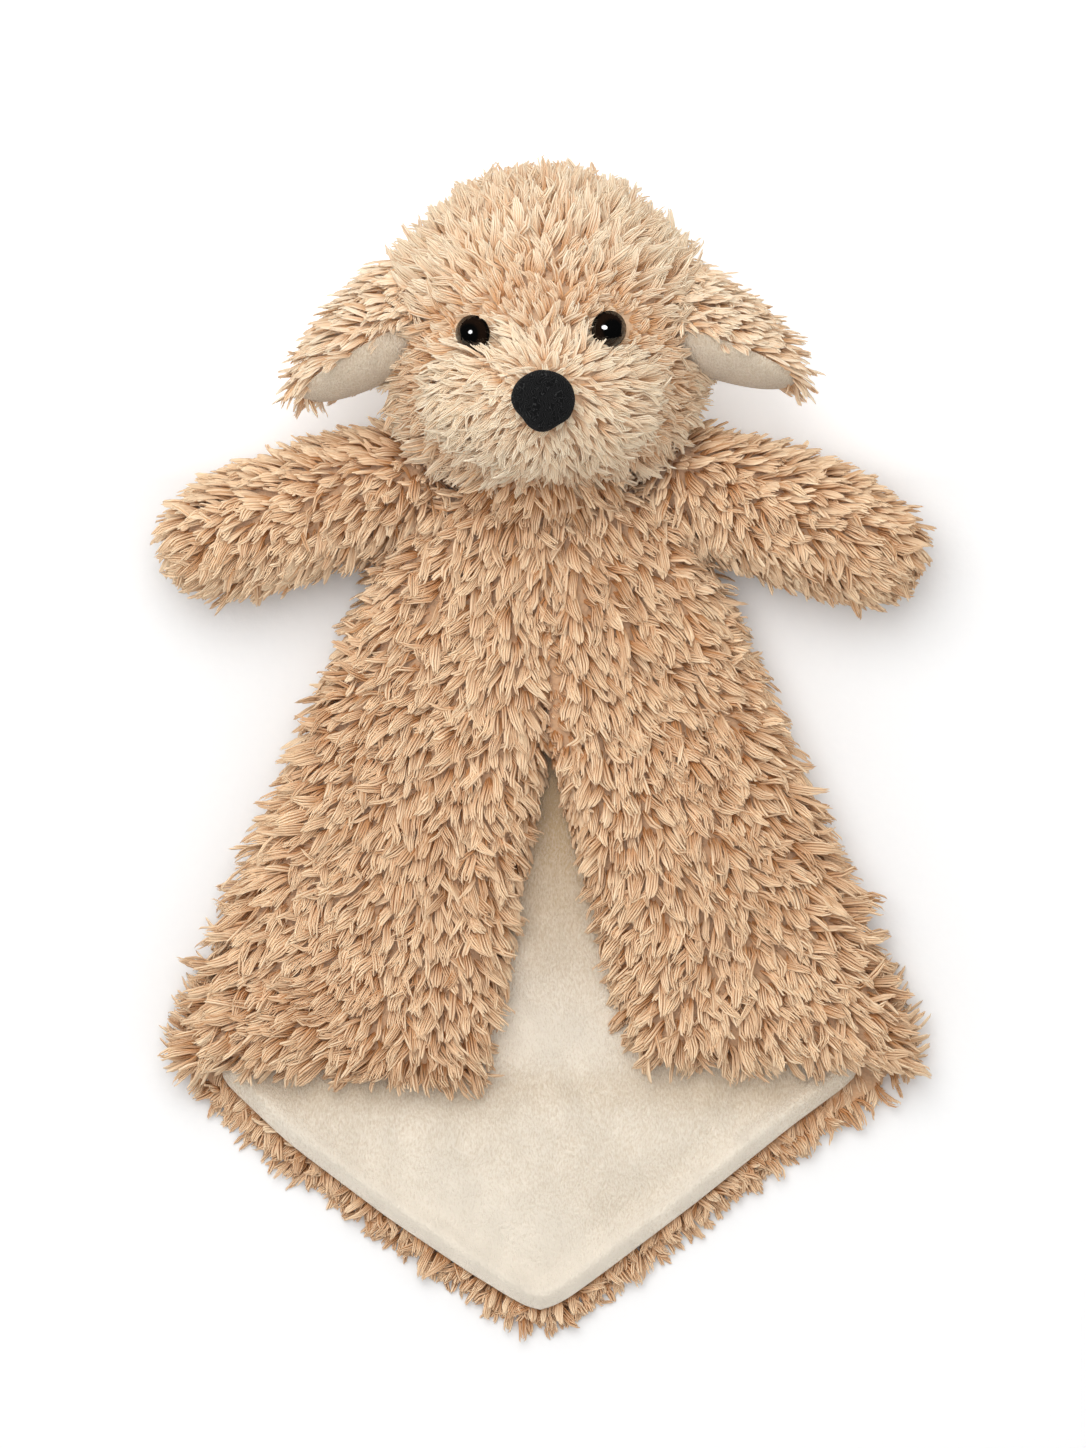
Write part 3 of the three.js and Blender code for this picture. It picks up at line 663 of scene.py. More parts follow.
def pile_piece(name, batches, kind, ceiling=np.inf):
    """Joins batches of laid locks to one piece with the pile's map."""
    all_points, all_uvs, loops, starts, offset, at = [], [], [], [], 0, 0
    leanings = []
    for points, uvs, faces, leaning in batches:
        leanings.append(leaning.reshape(-1, 3))
        count, size = points.shape[:2]
        flat = np.concatenate([np.array(f) for f in faces])
        lengths = np.array([len(f) for f in faces])
        base = (np.arange(count) * size + offset)[:, None]
        loops.append((base + flat[None, :]).ravel())
        all_uvs.append(uvs[:, flat, :].reshape(-1, 2))
        first = np.concatenate([[0], np.cumsum(lengths)[:-1]])
        starts.append((np.arange(count)[:, None] * len(flat) + first[None, :] + at).ravel())
        all_points.append(points.reshape(-1, 3))
        offset += count * size
        at += count * len(flat)
    points, uvs = np.concatenate(all_points), np.concatenate(all_uvs)
    above = np.maximum(points[:, 2] - ceiling, 0)
    below = np.maximum(0.8 - points[:, 2], 0)
    points[:, 2] = np.maximum(points[:, 2] - 0.9 * above + 0.92 * below, 0.15)
    loops, starts = np.concatenate(loops), np.concatenate(starts)
    mesh = bpy.data.meshes.new(name)
    mesh.vertices.add(len(points))
    mesh.vertices.foreach_set("co", (points * MM).astype(np.float32).ravel())
    mesh.loops.add(len(loops))
    mesh.loops.foreach_set("vertex_index", loops.astype(np.int32))
    mesh.polygons.add(len(starts))
    mesh.polygons.foreach_set("loop_start", starts.astype(np.int32))
    mesh.update(calc_edges=True)
    layer = mesh.uv_layers.new(name="OFBake")
    layer.data.foreach_set("uv", uvs.astype(np.float32).ravel())
    mesh.shade_smooth()
    own = np.empty(len(points) * 3)
    mesh.vertices.foreach_get("normal", own)
    own, leaning = own.reshape(-1, 3), np.concatenate(leanings)
    # undersides keep their own normals
    facing = step(-0.8, -0.05, np.sum(own * leaning, axis=1, keepdims=True))
    soft = unit(mix(own, leaning, SOFTNESS * facing * step(-0.2, 0.4, leaning[:, 2:3])))
    mesh.normals_split_custom_set_from_vertices(soft.tolist())
    ob = bpy.data.objects.new(name, mesh)
    bpy.context.scene.collection.objects.link(ob)
    ob.data.materials.append(material(kind))
    return ob


def cover_with_pile(name, skin, kind, spacing, where, flow, size, seed, wisps=0.8, more=(), ceiling=np.inf):
    """Scatters locks, and finer wisps between them, over a skin, and joins them to one piece."""
    batches = list(more)
    roots, normals = sample(skin, spacing, seed, where)
    given = {"shape": "lock", **size(roots, normals)}
    batches += lay_locks(roots, normals, flow(roots, normals), given, seed + 1)
    if wisps:
        roots, normals = sample(skin, spacing / wisps, seed + 2, where)
        given = {**size(roots, normals), "shape": "wisp", "stray": 0.36, "spread": 0.2}
        given["width"] = given["width"] * 0.5
        batches += lay_locks(roots, normals, flow(roots, normals), given, seed + 3)
    return pile_piece(name, batches, kind, ceiling)


def full(value, points):
    return np.full(len(points), float(value))


def pile_sizes(context):
    """Spacing, width and length of the locks, in millimetres."""
    pile = context.scene.lovey_pile
    return pile.lock_spacing / MM, pile.lock_width / MM, pile.lock_length / MM


def turned(out, turn):
    """Directions in plan, each turned by its angle."""
    x, y = out.T
    return np.column_stack([x * np.cos(turn) - y * np.sin(turn), x * np.sin(turn) + y * np.cos(turn)])


# Blanket


def half_width(y):
    return np.where(
        y > HEM_Y,
        mix(NECK_HALF, HEM_HALF, (NECK_Y - y) / (NECK_Y - HEM_Y)),
        mix(HEM_HALF, 0, (HEM_Y - y) / (HEM_Y - TIP_Y)),
    )


def slit_edge(y, side):
    """How far from the middle the inner edge of a front lies, below the end of the seam."""
    return np.maximum((SEAM_END_Y - y) / (SEAM_END_Y - HEM_Y), 0) * CORNERS[side][0]


def whorl(points):
    """How near points are to the middle of the whorl (0..1)."""
    off = (points[:, 0] - WHORL[0]) ** 2 + (points[:, 1] - WHORL[1]) ** 2
    return np.exp(-off / WHORL_SPREAD)


def back_outline(inset):
    corner = HEM_HALF - inset
    top = NECK_HALF - inset
    tip = [0, TIP_Y + inset * 1.5]
    return np.array([[-top, NECK_Y], [-corner, HEM_Y], tip, [corner, HEM_Y], [top, NECK_Y]])


def past_lining(points):
    """How far points lie past the left and right edges of the lining."""
    x, down = points[:, 0], -points[:, 1]
    left, right = (np.interp(down, -half[:, 1], half[:, 0]) for half in (LINING_EDGE[:8], LINING_EDGE[:6:-1]))
    return np.maximum(left - x, x - right)


def back_plan(outline):
    lowest = np.argmin(outline[:, 1])
    halves = outline[: lowest + 1], outline[lowest:][::-1]

    def plan(u, v):
        y = mix(NECK_Y, outline[lowest, 1], v)
        left, right = (np.interp(-y, -half[:, 1], half[:, 0]) for half in halves)
        return np.column_stack([mix(left, right, u), y])

    return plan


def front_outline(side, inset):
    reach, drop = CORNERS[side]
    slope = (HEM_HALF - NECK_HALF) / (NECK_Y - HEM_Y)
    hem_out = HEM_HALF - inset - inset * slope
    return np.array(
        [
            [side * 0.1, NECK_Y + 4],
            [side * (NECK_HALF - inset), NECK_Y + 4],
            [side * hem_out, HEM_Y + inset],
            [side * (reach + inset * 0.7), HEM_Y - drop + inset],
            [side * 0.6, SEAM_END_Y],
        ]
    )


def front_rim(xy, outline):
    """Distance to the front's rim. Above the slit both sides are one chest, with a groove at its low end."""
    top, shoulder, hem_end, corner, seam_end = outline
    open_rim = edge_distance(xy, np.array([shoulder, hem_end, corner, seam_end]), closed=False)
    above = np.abs(xy[:, 0]) + 14 * step(12, 55, xy[:, 1])
    neck = np.maximum(top[1] - xy[:, 1], 0) + 1
    middle = np.where(xy[:, 1] > seam_end[1], above, open_rim)
    return np.minimum(np.minimum(open_rim, middle), neck)


def front_plan(outline):
    top, shoulder, hem_end, corner, seam_end = outline
    bend = (top[1] - seam_end[1]) / (top[1] - corner[1])

    def plan(u, v):
        t = np.where(v < bend, v / bend, (v - bend) / (1 - bend))[:, None]
        above = (v < bend)[:, None]
        inner = np.where(above, mix(top, seam_end, t), mix(seam_end, corner, t))
        outer = mix(shoulder, hem_end, v[:, None])
        return mix(inner, outer, u[:, None])

    return plan


def crease_blend(ob):
    """Bakes the loose front's placement into its mesh."""
    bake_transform(ob)


def tail_blend(ob):
    """Bakes the tail's placement into its mesh."""
    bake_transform(ob)


def front_flow(side):
    """Combing of the front: down, in towards its slit at the inner edge, and out at the fold."""

    def flow(points, normals):
        x, y = points[:, 0] * side, points[:, 1]
        inner = slit_edge(y, side)
        t = np.clip((x - inner) / (half_width(np.maximum(y, HEM_Y)) - inner), 0, 1)
        low = step(40, -60, y)
        groove = -26 * step(56, 40, y) * step(-14, -2, -x * (y > SEAM_END_Y) - 2 * (y <= SEAM_END_Y))
        upper = np.interp(t, [0, 0.1, 0.35, 0.7, 1], [2, 10, 34, 46, 66]) + groove
        upper = mix(upper, -4 if side < 0 else 20, step(44, 30, y) * step(12, 5, x))
        lower = np.interp(t, [0, 0.12, 0.3, 0.55, 0.8, 1], [-36, -24, 8, 34, 44, 68])
        lower = mix(lower, -4 if side < 0 else 20, step(-75, -20, y) * step(14, 6, x - inner))
        stray = (15 + 50 * whorl(points) * (side < 0)) * swirl(points[:, :2], 24, 5 + side)
        turn = np.radians(mix(upper, lower, low) + stray)
        return np.column_stack([side * np.sin(turn), -np.cos(turn), np.zeros(len(x)) - 0.15])

    return flow


class LOVEY_OT_blanket(bpy.types.Operator):
    """Makes the folded plush square: its back, its two front sides and the rolled folds between them."""

    bl_idname = "lovey.blanket"
    bl_label = "Plush square"

    def execute(self, context):
        spacing, width, reach = pile_sizes(context)
        outline = back_outline(4)
        rim = lambda xy: rounded(edge_distance(xy, outline), 4)
        low = lambda xy: mix(4.6, 2.4, rim(xy))
        high = lambda xy: mix(4.6, 6.9 - 2.1 * step(-4, 1, past_lining(xy)), rim(xy))
        back = soft_panel("back_plush", back_plan(outline), low, high, 40, 36)
        back.data.materials.append(material("backing"))

        def under(points, normals):
            beyond = (past_lining(points) > -1) & (points[:, 1] < HEM_Y + 12)
            return (normals[:, 2] < 0.2) | (edge_distance(points[:, :2], outline) < 1.5) | beyond

        def back_flow(points, normals):
            rim = (edge_distance(points[:, :2], outline) < 3.5) | (normals[:, 2] > 0.5)
            away = np.column_stack([0.55 * np.sign(points[:, 0]), full(-0.8, points), full(0, points)])
            turn = 0.35 * swirl(points[:, :2], 26, 3)
            down = np.column_stack([np.sin(turn) + points[:, 0] / 260, -np.cos(turn), full(0, points)])
            return np.where(rim[:, None], away, down)

        def back_size(points, normals):
            rim = edge_distance(points[:, :2], outline) < 3.5
            return {
                "length": np.where(rim, reach * 0.82, reach),
                "width": width,
                "lift": np.where(rim, 0.3, 0.16),
                "end": np.where(rim, -0.25, 0.02),
                "pale": 3.0,
            }

        fur = cover_with_pile(
            "back_pile", back, "pile", spacing * 1.7, under, back_flow, back_size, 11,
            more=self.fringe(width), ceiling=7.1,
        )
        tail_blend(back)
        tail_blend(fur)
        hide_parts("blanket_plush", "tail_plush")

        for side, name in SIDES.items():
            outline = front_outline(side, 5)
            thick = lambda xy: mix(16.5, 7.5, (NECK_Y - xy[:, 1]) / (NECK_Y - HEM_Y))
            gathers = lambda xy: 1.8 * np.cos(
                np.abs(xy[:, 0]) / half_width(np.maximum(xy[:, 1], HEM_Y)) * 5 * 2 * np.pi
            ) * np.clip(1 - (NECK_Y - xy[:, 1]) / 190, 0, 1)
            low = lambda xy: mix(15.5, 12.6, rounded(front_rim(xy, outline), 5))
            high = lambda xy: mix(15.5, 12.6 + thick(xy) + gathers(xy), rounded(front_rim(xy, outline), 9))
            front = soft_panel(f"front_{name}_plush", front_plan(outline), low, high, 26, 40)
            roll = self.roll(side)
            select_only(front, roll)
            bpy.ops.object.join()
            front.data.materials.append(material("backing"))
            smooth(front, 0)

            def outside(points, normals, side=side):
                x, y, z = points.T
                hidden = (z < 13.5) & (x * side < half_width(y) - 9)
                in_roll = x * side > half_width(y) - 13
                inner_roll = in_roll & (normals[:, 0] * side < -0.2) & (z < 22) & (y > HEM_Y + 28)
                return ~hidden & ~inner_roll & (normals[:, 2] > -0.85)

            def front_size(points, normals, side=side):
                x, y, z = points.T
                near_floor = step(10, 3, z)
                near_slit = step(9, 1.5, np.abs(x) - slit_edge(y, side))
                parting = near_slit * step(-85, -35, y) * step(56, 34, y) * (1 if side > 0 else 0.6)
                # the pile parts above the slit, its locks shorter there; the locks at the parting and along
                # the slit's edge are painted darker, as painted shade
                parted = step(4.2, 2.0, np.abs(x - 2)) * step(-22, -8, y) * step(34, 24, y)
                out = np.abs(x) / half_width(np.maximum(y, HEM_Y))
                bowed = step(0.8, 0.97, out) * np.exp(-(((y + 38) / 52) ** 2))
                length = reach * (1 + 0.5 * bowed) * mix(1, 0.8, near_floor)
                pale = 3.6 + 0.8 * swirl(points[:, :2], 30, 8) - 1.8 * whorl(points)
                return {
                    "length": length * (1 - 0.5 * parting) * (1 - 0.5 * parted),
                    "width": width,
                    "lift": mix(0.78, 0.3, near_floor),
                    "end": 0.12,
                    "pale": pale - 1.8 * parting - 4 * parted,
                }

            fur = cover_with_pile(
                f"front_{name}_pile", front, "pile", spacing * 1.07,
                outside, front_flow(side), front_size, 20 + side * 5,
            )
            for piece in (front, fur):
                crease_blend(piece)
            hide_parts(f"flap_{name}_plush")
        return {"FINISHED"}

    def fringe(self, width):
        """Locks that hang out round the tail's edges, under the lining."""
        rng = np.random.default_rng(17)
        edge = LINING_EDGE[1:-1]
        runs = np.diff(edge, axis=0)
        lengths = np.linalg.norm(runs, axis=1)
        far = np.concatenate([[0], np.cumsum(lengths)])
        outward = unit(np.column_stack([runs[:, 1], -runs[:, 0]]))
        batches = []
        for layer, (height, back) in enumerate(((6.4, 2.5), (4.8, 1.0), (3.2, -0.5), (1.8, -1.5))):
            count = int(far[-1] / (1.4 if layer % 2 else 2.4))
            t = (np.arange(count) + rng.uniform(0, 1, count)) / count * far[-1]
            place = np.column_stack([np.interp(t, far, edge[:, k]) for k in (0, 1)])
            middles = (far[1:] + far[:-1]) / 2
            away = unit(np.column_stack([np.interp(t, middles, outward[:, k]) for k in (0, 1)]))
            roots = np.column_stack([place - away * back, height + rng.normal(0, 0.3, count)])
            clump = 0.5 * swirl(place, 2.4, 19 + layer)
            turn = (-0.25 * np.sign(place[:, 0]) + clump + rng.normal(0, 0.25, count))[:, None]
            side_way = np.column_stack([-away[:, 1], away[:, 0]])
            flow = np.column_stack([away * np.cos(turn) + side_way * np.sin(turn), np.zeros(count)])
            further_out = step(60, 100, np.abs(place[:, 0]))
            size = {
                "shape": "wisp" if layer % 2 else "lock",
                "length": 8.6 + 2.2 * clump + rng.normal(0, 1, count) + 2 * further_out,
                "width": width * (0.5 if layer % 2 else 0.72),
                "lift": 0.1,
                "end": -0.2,
                "pale": 3.4 - 1.4 * (layer % 2),
            }
            normals = np.tile([0.0, 0.0, 1.0], (count, 1))
            batches += lay_locks(roots, normals, flow, size, 170 + layer)
        return batches

    def roll(self, side):
        """The backing where it turns over at the outer fold."""
        bpy.ops.object.select_all(action="DESELECT")
        bpy.ops.mesh.primitive_cylinder_add(vertices=20, radius=1, depth=1, end_fill_type="TRIFAN")
        ob = bpy.context.object
        raw = points_of(ob) * MM
        t = 0.5 - raw[:, 2]
        y = mix(NECK_Y - 2, HEM_Y + 5, t)
        x = side * (half_width(y) - 7.5) + raw[:, 0] * 4.2
        set_points(ob, np.column_stack([x, y, 10.5 + raw[:, 1] * 8]))
        face_outwards(ob)
        return ob


class LOVEY_OT_lining(bpy.types.Operator):
    """Makes the smooth lining: its back with the tail's soft rim, and the two front sides."""

    bl_idname = "lovey.lining"
    bl_label = "Lining"

    def execute(self, context):
        thickness = context.scene.lovey_lining.thickness / MM
        outline = LINING_EDGE

        def creases(xy):
            d = edge_distance(xy, outline)
            tail = step(HEM_Y + 14, HEM_Y - 4, xy[:, 1])
            rim = (3.6 * np.exp(-(((d - 5.0) / 3.4) ** 2)) - 0.5 * np.exp(-(((d - 13) / 4) ** 2))) * tail
            folds = swirl(xy * [1, 0.6], 16, 2) * 1.4 + swirl(xy, 8, 4) * 0.2
            # one broad soft fold comes down the slit to the middle of the tail
            broad = 2.2 * np.exp(-(((xy[:, 0] - 12 + 0.1 * xy[:, 1]) / 13) ** 2)) * step(-175, -120, xy[:, 1])
            deep = step(3, 26, d) * step(NECK_Y - 30, SEAM_END_Y - 10, xy[:, 1])
            return rim + (folds + broad + 0.7) * deep

        low = lambda xy: mix(8.4, 7.3, rounded(edge_distance(xy, outline), 2))
        high = lambda xy: 7.3 + mix(1.1, thickness, rounded(edge_distance(xy, outline), 3.2)) + creases(xy)
        back = soft_panel("back_lining", back_plan(outline), low, high, 60, 64)
        smooth(back, 1)
        xy = points_of(back)[:, :2]
        y = xy[:, 1]
        # painted highlight along the tail's rim, painted shade where the lining lies deep between and under
        # the fronts, painted shadow just below the fronts' hems, and some random unevenness
        rim_highlight = np.exp(-(((edge_distance(xy, outline) - 4) / 4.5) ** 2)) * step(HEM_Y + 14, HEM_Y - 4, y)
        hem_shadow = np.exp(-(((y + 113) / 8) ** 2))
        paint_shade_and_highlight(back, 0.1 - 0.16 * rim_highlight + 0.9 * step(-100, -15, y) + 0.12 * swirl(xy, 18, 6) + 0.3 * hem_shadow)
        tail_blend(back)
        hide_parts("blanket_lining", "tail_lining")
        pieces = [back]
        for side, name in SIDES.items():
            edge = front_outline(side, 4.5)
            edge[1:3, 0] -= side * 3.5
            low = lambda xy: full(9.9, xy)
            high = lambda xy: 9.9 + mix(0.6, thickness, rounded(edge_distance(xy, edge), 2.2))
            front = soft_panel(f"front_{name}_lining", front_plan(edge), low, high, 20, 30)
            smooth(front, 1)
            # the front linings get more of the darker colour than the back's
            paint_shade_and_highlight(front, 0.4)
            crease_blend(front)
            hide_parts(f"flap_{name}_lining")
            pieces.append(front)
        for piece in pieces:
            piece.data.materials.append(material("lining"))
        return {"FINISHED"}


# Head


def head_taper(points, shrink):
    """Puts points of a unit ball on the head, whose cheeks are full and wider than its crown."""
    half = HEAD_HALF - shrink
    angle = np.arctan2(points[:, 1], points[:, 0])
    full_cheek = 1 + 0.14 * np.where(points[:, 1] < 0, np.sin(2 * angle) ** 2, 0)
    x = points[:, 0] * half[0] * (1 - 0.05 * points[:, 1]) * full_cheek
    return np.column_stack([x, points[:, 1] * half[1] * full_cheek, points[:, 2] * half[2]]) + HEAD_MIDDLE


def face_height(x, y):
    """Height of the CAD head's face at a place in plan."""
    up = (y - HEAD_MIDDLE[1]) / HEAD_HALF[1]
    out = x / (HEAD_HALF[0] * (1 - 0.05 * up))
    return HEAD_MIDDLE[2] + HEAD_HALF[2] * np.sqrt(np.maximum(1 - up**2 - out**2, 0))


def eye_frame(side):
    """Middle and normal of an eye on the face."""
    x, y = EYES[side]
    z = face_height(x, y)
    off = np.array([x, y, z]) - HEAD_MIDDLE
    return np.array([x, y, z]), unit(off / (2 * HEAD_HALF) ** 2)


def off_eyes(points):
    """How far in plan points are from the nearer eye, in sizes of what shows of it."""
    distances = []
    for middle, shown in EYES_SHOWN:
        distances.append(np.linalg.norm(points[:, :2] - middle, axis=1) / shown)
    return np.minimum(*distances)


def eye_clearing(points):
    """Share of their length that locks keep near the eyes; those by the left eye's nose side hang over it."""
    x, y = points[:, 0], points[:, 1]
    over = (x > -20) & (x < -8) & (np.abs(y - 132) < 8)
    return np.where(over, 0.38, step(1.0, 3.0, off_eyes(points)))


class LOVEY_OT_head(bpy.types.Operator):
    """Makes the stuffed head and muzzle with their pile, and the gathered neck."""

    bl_idname = "lovey.head"
    bl_label = "Head, muzzle and neck"

    def execute(self, context):
        spacing, width, reach = pile_sizes(context)
        head = ball("head_plush", 0, 1, 40, 28)
        set_points(head, head_taper(points_of(head), 5.6))
        stuffed(head, 5, 1.6)
        muzzle = ball("muzzle_plush", MUZZLE_MIDDLE - [0, 0, 0.5], MUZZLE_HALF - 5.5, 32, 20)
        stuffed(muzzle, 4, 1.2)
        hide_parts("head_cover", "head_stuffing")
        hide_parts("muzzle_cover", "muzzle_stuffing")

        def in_muzzle(points):
            return np.linalg.norm((points - MUZZLE_MIDDLE) / (MUZZLE_HALF - 4), axis=1) < 1

        def head_flow(points, normals):
            out = unit(points[:, :2] - [0, 121])
            turn = 0.3 * swirl(points, 22, 31)
            out = turned(out, turn)
            behind = step(44, 28, points[:, 2])[:, None]
            forward = np.column_stack([out, full(-0.35, points)])
            return mix(forward, np.array([[0, -1, -0.2]]), behind * (points[:, 2:3] < 36))

        def head_size(points, normals):
            front = points[:, 2] > 50
            clear = np.where(front, eye_clearing(points), 1)
            short = np.where(points[:, 2] < 12, 0.6, 1)
            x, y = np.abs(points[:, 0]), points[:, 1]
            temple = step(32, 41, x) * step(134, 144, y) * step(168, 158, y)
            # painted shade: the pile is darker in a ring round the muzzle's edge, where the muzzle shades the
            # cheeks; it is also darker between the eyes, just above the muzzle
            ring = np.linalg.norm((points[:, :2] - MUZZLE_MIDDLE[:2] - [0, 2]) / MUZZLE_HALF[:2], axis=1)
            shaded = np.exp(-(((ring - 1.0) / 0.2) ** 2)) * front
            brow = np.exp(-((x / 17) ** 2) - ((y - 140) / 7) ** 2) * front
            length = reach * 1.06 * mix(0.5, 1, clear) * short
            return {
                "length": length * (1 + 0.28 * temple) * (1 - 0.3 * shaded),
                "width": width * 0.86,
                "lift": np.where(points[:, 2] < 12, 0.35, 1.05) * mix(0.8, 1, clear),
                "end": np.where(points[:, 2] < 12, 0.05, 0.42),
                "pale": 4.1 + 0.8 * swirl(points, 24, 33) - 2.6 * shaded - 1.6 * brow,
            }

        for name, lowest, highest in (("front", 46, 99), ("back", -9, 46)):

            def on_head(points, normals, lowest=lowest, highest=highest):
                z = points[:, 2]
                bare = (off_eyes(points) < 1) & (z > 50)
                return (z >= lowest) & (z < highest) & ~in_muzzle(points) & ~bare

            fur = cover_with_pile(
                f"head_{name}_pile", head, "head_pile", spacing * 0.88,
                on_head, head_flow, head_size, 40 + lowest,
            )
            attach(fur, "head")

        def on_muzzle(points, normals):
            nose = np.linalg.norm(points[:, :2] - NOSE_MIDDLE[:2], axis=1) < 6
            return (normals[:, 2] > -0.1) & ~nose & (off_eyes(points) > 1.15)

        def muzzle_flow(points, normals):
            out = unit(points[:, :2] - [0, 114.5])
            turn = 0.25 * swirl(points, 14, 35)
            out = turned(out, turn)
            return np.column_stack([out, full(-0.1, points)])

        def muzzle_size(points, normals):
            from_nose = np.linalg.norm(points[:, :2] - NOSE_MIDDLE[:2], axis=1)
            clear = eye_clearing(points)
            return {
                "length": reach * mix(0.62, 1.12, step(8, 26, from_nose)) * mix(0.5, 1, clear),
                "width": width * 0.7,
                "lift": 0.95 * mix(0.7, 1, clear),
                "end": 0.3,
                "pale": 6.0 + 0.6 * swirl(points, 18, 36),
            }

        fur = cover_with_pile(
            "muzzle_pile", muzzle, "head_pile", spacing * 0.72, on_muzzle, muzzle_flow, muzzle_size, 60
        )
        for piece in (head, muzzle, fur):
            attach(piece, "head")
        for piece in (head, muzzle):
            piece.data.materials.append(material("head_backing"))
        self.neck(spacing, width, reach)
        return {"FINISHED"}

    def neck(self, spacing, width, reach):
        neck, raw = unit_ball("neck_plush", 32, 16)
        ripple = 1 + 0.05 * np.cos(9 * np.arctan2(raw[:, 2], raw[:, 0]))[:, None]
        set_points(neck, raw * ripple * [24, 12, 16] + [0, 86, 27])
        neck.data.materials.append(material("backing"))
        smooth(neck, 1)

        def on_neck(points, normals):
            return np.abs(points[:, 1] - 85) < 9

        def neck_flow(points, normals):
            return np.column_stack([points[:, 0] * 0.04, full(-1, points), (points[:, 2] - 29) * 0.02])

        def neck_size(points, normals):
            return {
                "length": reach * 0.9, "width": width, "lift": 0.8, "end": 0.3, "pale": 2.4,
            }

        fur = cover_with_pile("neck_pile", neck, "pile", spacing * 1.1, on_neck, neck_flow, neck_size, 70)
        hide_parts("neck_gather")
        for piece in (neck, fur):
            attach(piece, "neck")


# Ears and arms


def ear_frame(side):
    """Directions of an ear: outward along it, across it, and its normal towards the plush side."""
    droop = EAR_DROOPS[side]
    outward = np.array([side * math.cos(droop), -math.sin(droop), 0])
    up = np.array([side * math.sin(droop), math.cos(droop), 0])
    normal = up * math.cos(EAR_LEAN) + np.array([0, 0, -math.sin(EAR_LEAN)])
    return outward, np.cross(normal, outward), normal


class LOVEY_OT_ears(bpy.types.Operator):
    """Makes the two ears: a plush half with its pile and a plump half of lining."""

    bl_idname = "lovey.ears"
    bl_label = "Ears"

    def half(self, name, side, root_depth, reach, wide, dome, tip, towards):
        def leaf(t):
            grow = np.where(t < 0.42, t / 0.42, (1 - t) / 0.58)
            base = np.where(t < 0.42, wide * 0.72, 0)
            return mix(base, wide, np.sqrt(np.maximum(1 - (1 - grow) ** 2, 0)))

        plan = lambda u, v: np.column_stack([mix(-root_depth, reach, u), (v - 0.5) * leaf(u)])

        def height(xy):
            t = (xy[:, 0] + root_depth) / (reach + root_depth)
            across = np.minimum(np.abs(xy[:, 1]) / np.maximum(leaf(t) / 2, 0.3), 1)
            fill = np.maximum((1 - across**2) * (1 - t**4), 0)
            return 0.15 + dome * mix(1, tip, t) * fill**0.55

        ob = soft_panel(name, plan, lambda xy: full(0.15, xy), height, 16, 14)
        outward, across, normal = ear_frame(side)
        basis = np.array([outward, across, normal * towards])
        root = EAR_ROOT * [side, 1, 1]
        set_points(ob, points_of(ob) @ basis + root)
        face_outwards(ob)
        smooth(ob, 1)
        return ob

    def execute(self, context):
        spacing, width, reach = pile_sizes(context)
        for side, name in SIDES.items():
            outward, across, normal = ear_frame(side)
            root = EAR_ROOT * [side, 1, 1]
            plush = self.half(f"ear_{name}_cloth", side, 20, 31, 31, 23, 0.42, 1)
            lining = self.half(f"ear_{name}_inside", side, 9, 33, 33, 10.5 if side < 0 else 9, 0.75, -1)
            lining.data.materials.append(material("lining"))
            # painted shade on the ear's inside, which faces down
            paint_shade_and_highlight(lining, 0.45)
            plush.data.materials.append(material("head_backing"))

            def on_ear(points, normals, root=root, outward=outward):
                return ((points - root) @ outward > -17) & (normals @ normal > -0.5)

            def ear_flow(points, normals, root=root, outward=outward, across=across):
                side_way = ((points - root) @ across)[:, None] / 16
                return outward + across * side_way * 0.5 + [0, -0.25, 0]

            def ear_size(points, normals, normal=normal):
                rim = normals @ normal < 0.1
                return {
                    "length": reach * 0.95 * np.where(rim, 0.7, 1),
                    "width": width * 0.8,
                    "lift": np.where(rim, 0.25, 0.95), "end": np.where(rim, -0.1, 0.35),
                    "pale": 3.4 + 0.8 * swirl(points, 12, 44),
                }

            fur = cover_with_pile(
                f"ear_{name}_pile", plush, "head_pile", spacing * 0.8, on_ear, ear_flow, ear_size, 80 + side
            )
            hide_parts(f"ear_{name}_plush")
            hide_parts(f"ear_{name}_lining")
            for piece, slot in ((plush, "head_plush"), (lining, "lining"), (fur, "head_plush")):
                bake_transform(piece)
        return {"FINISHED"}


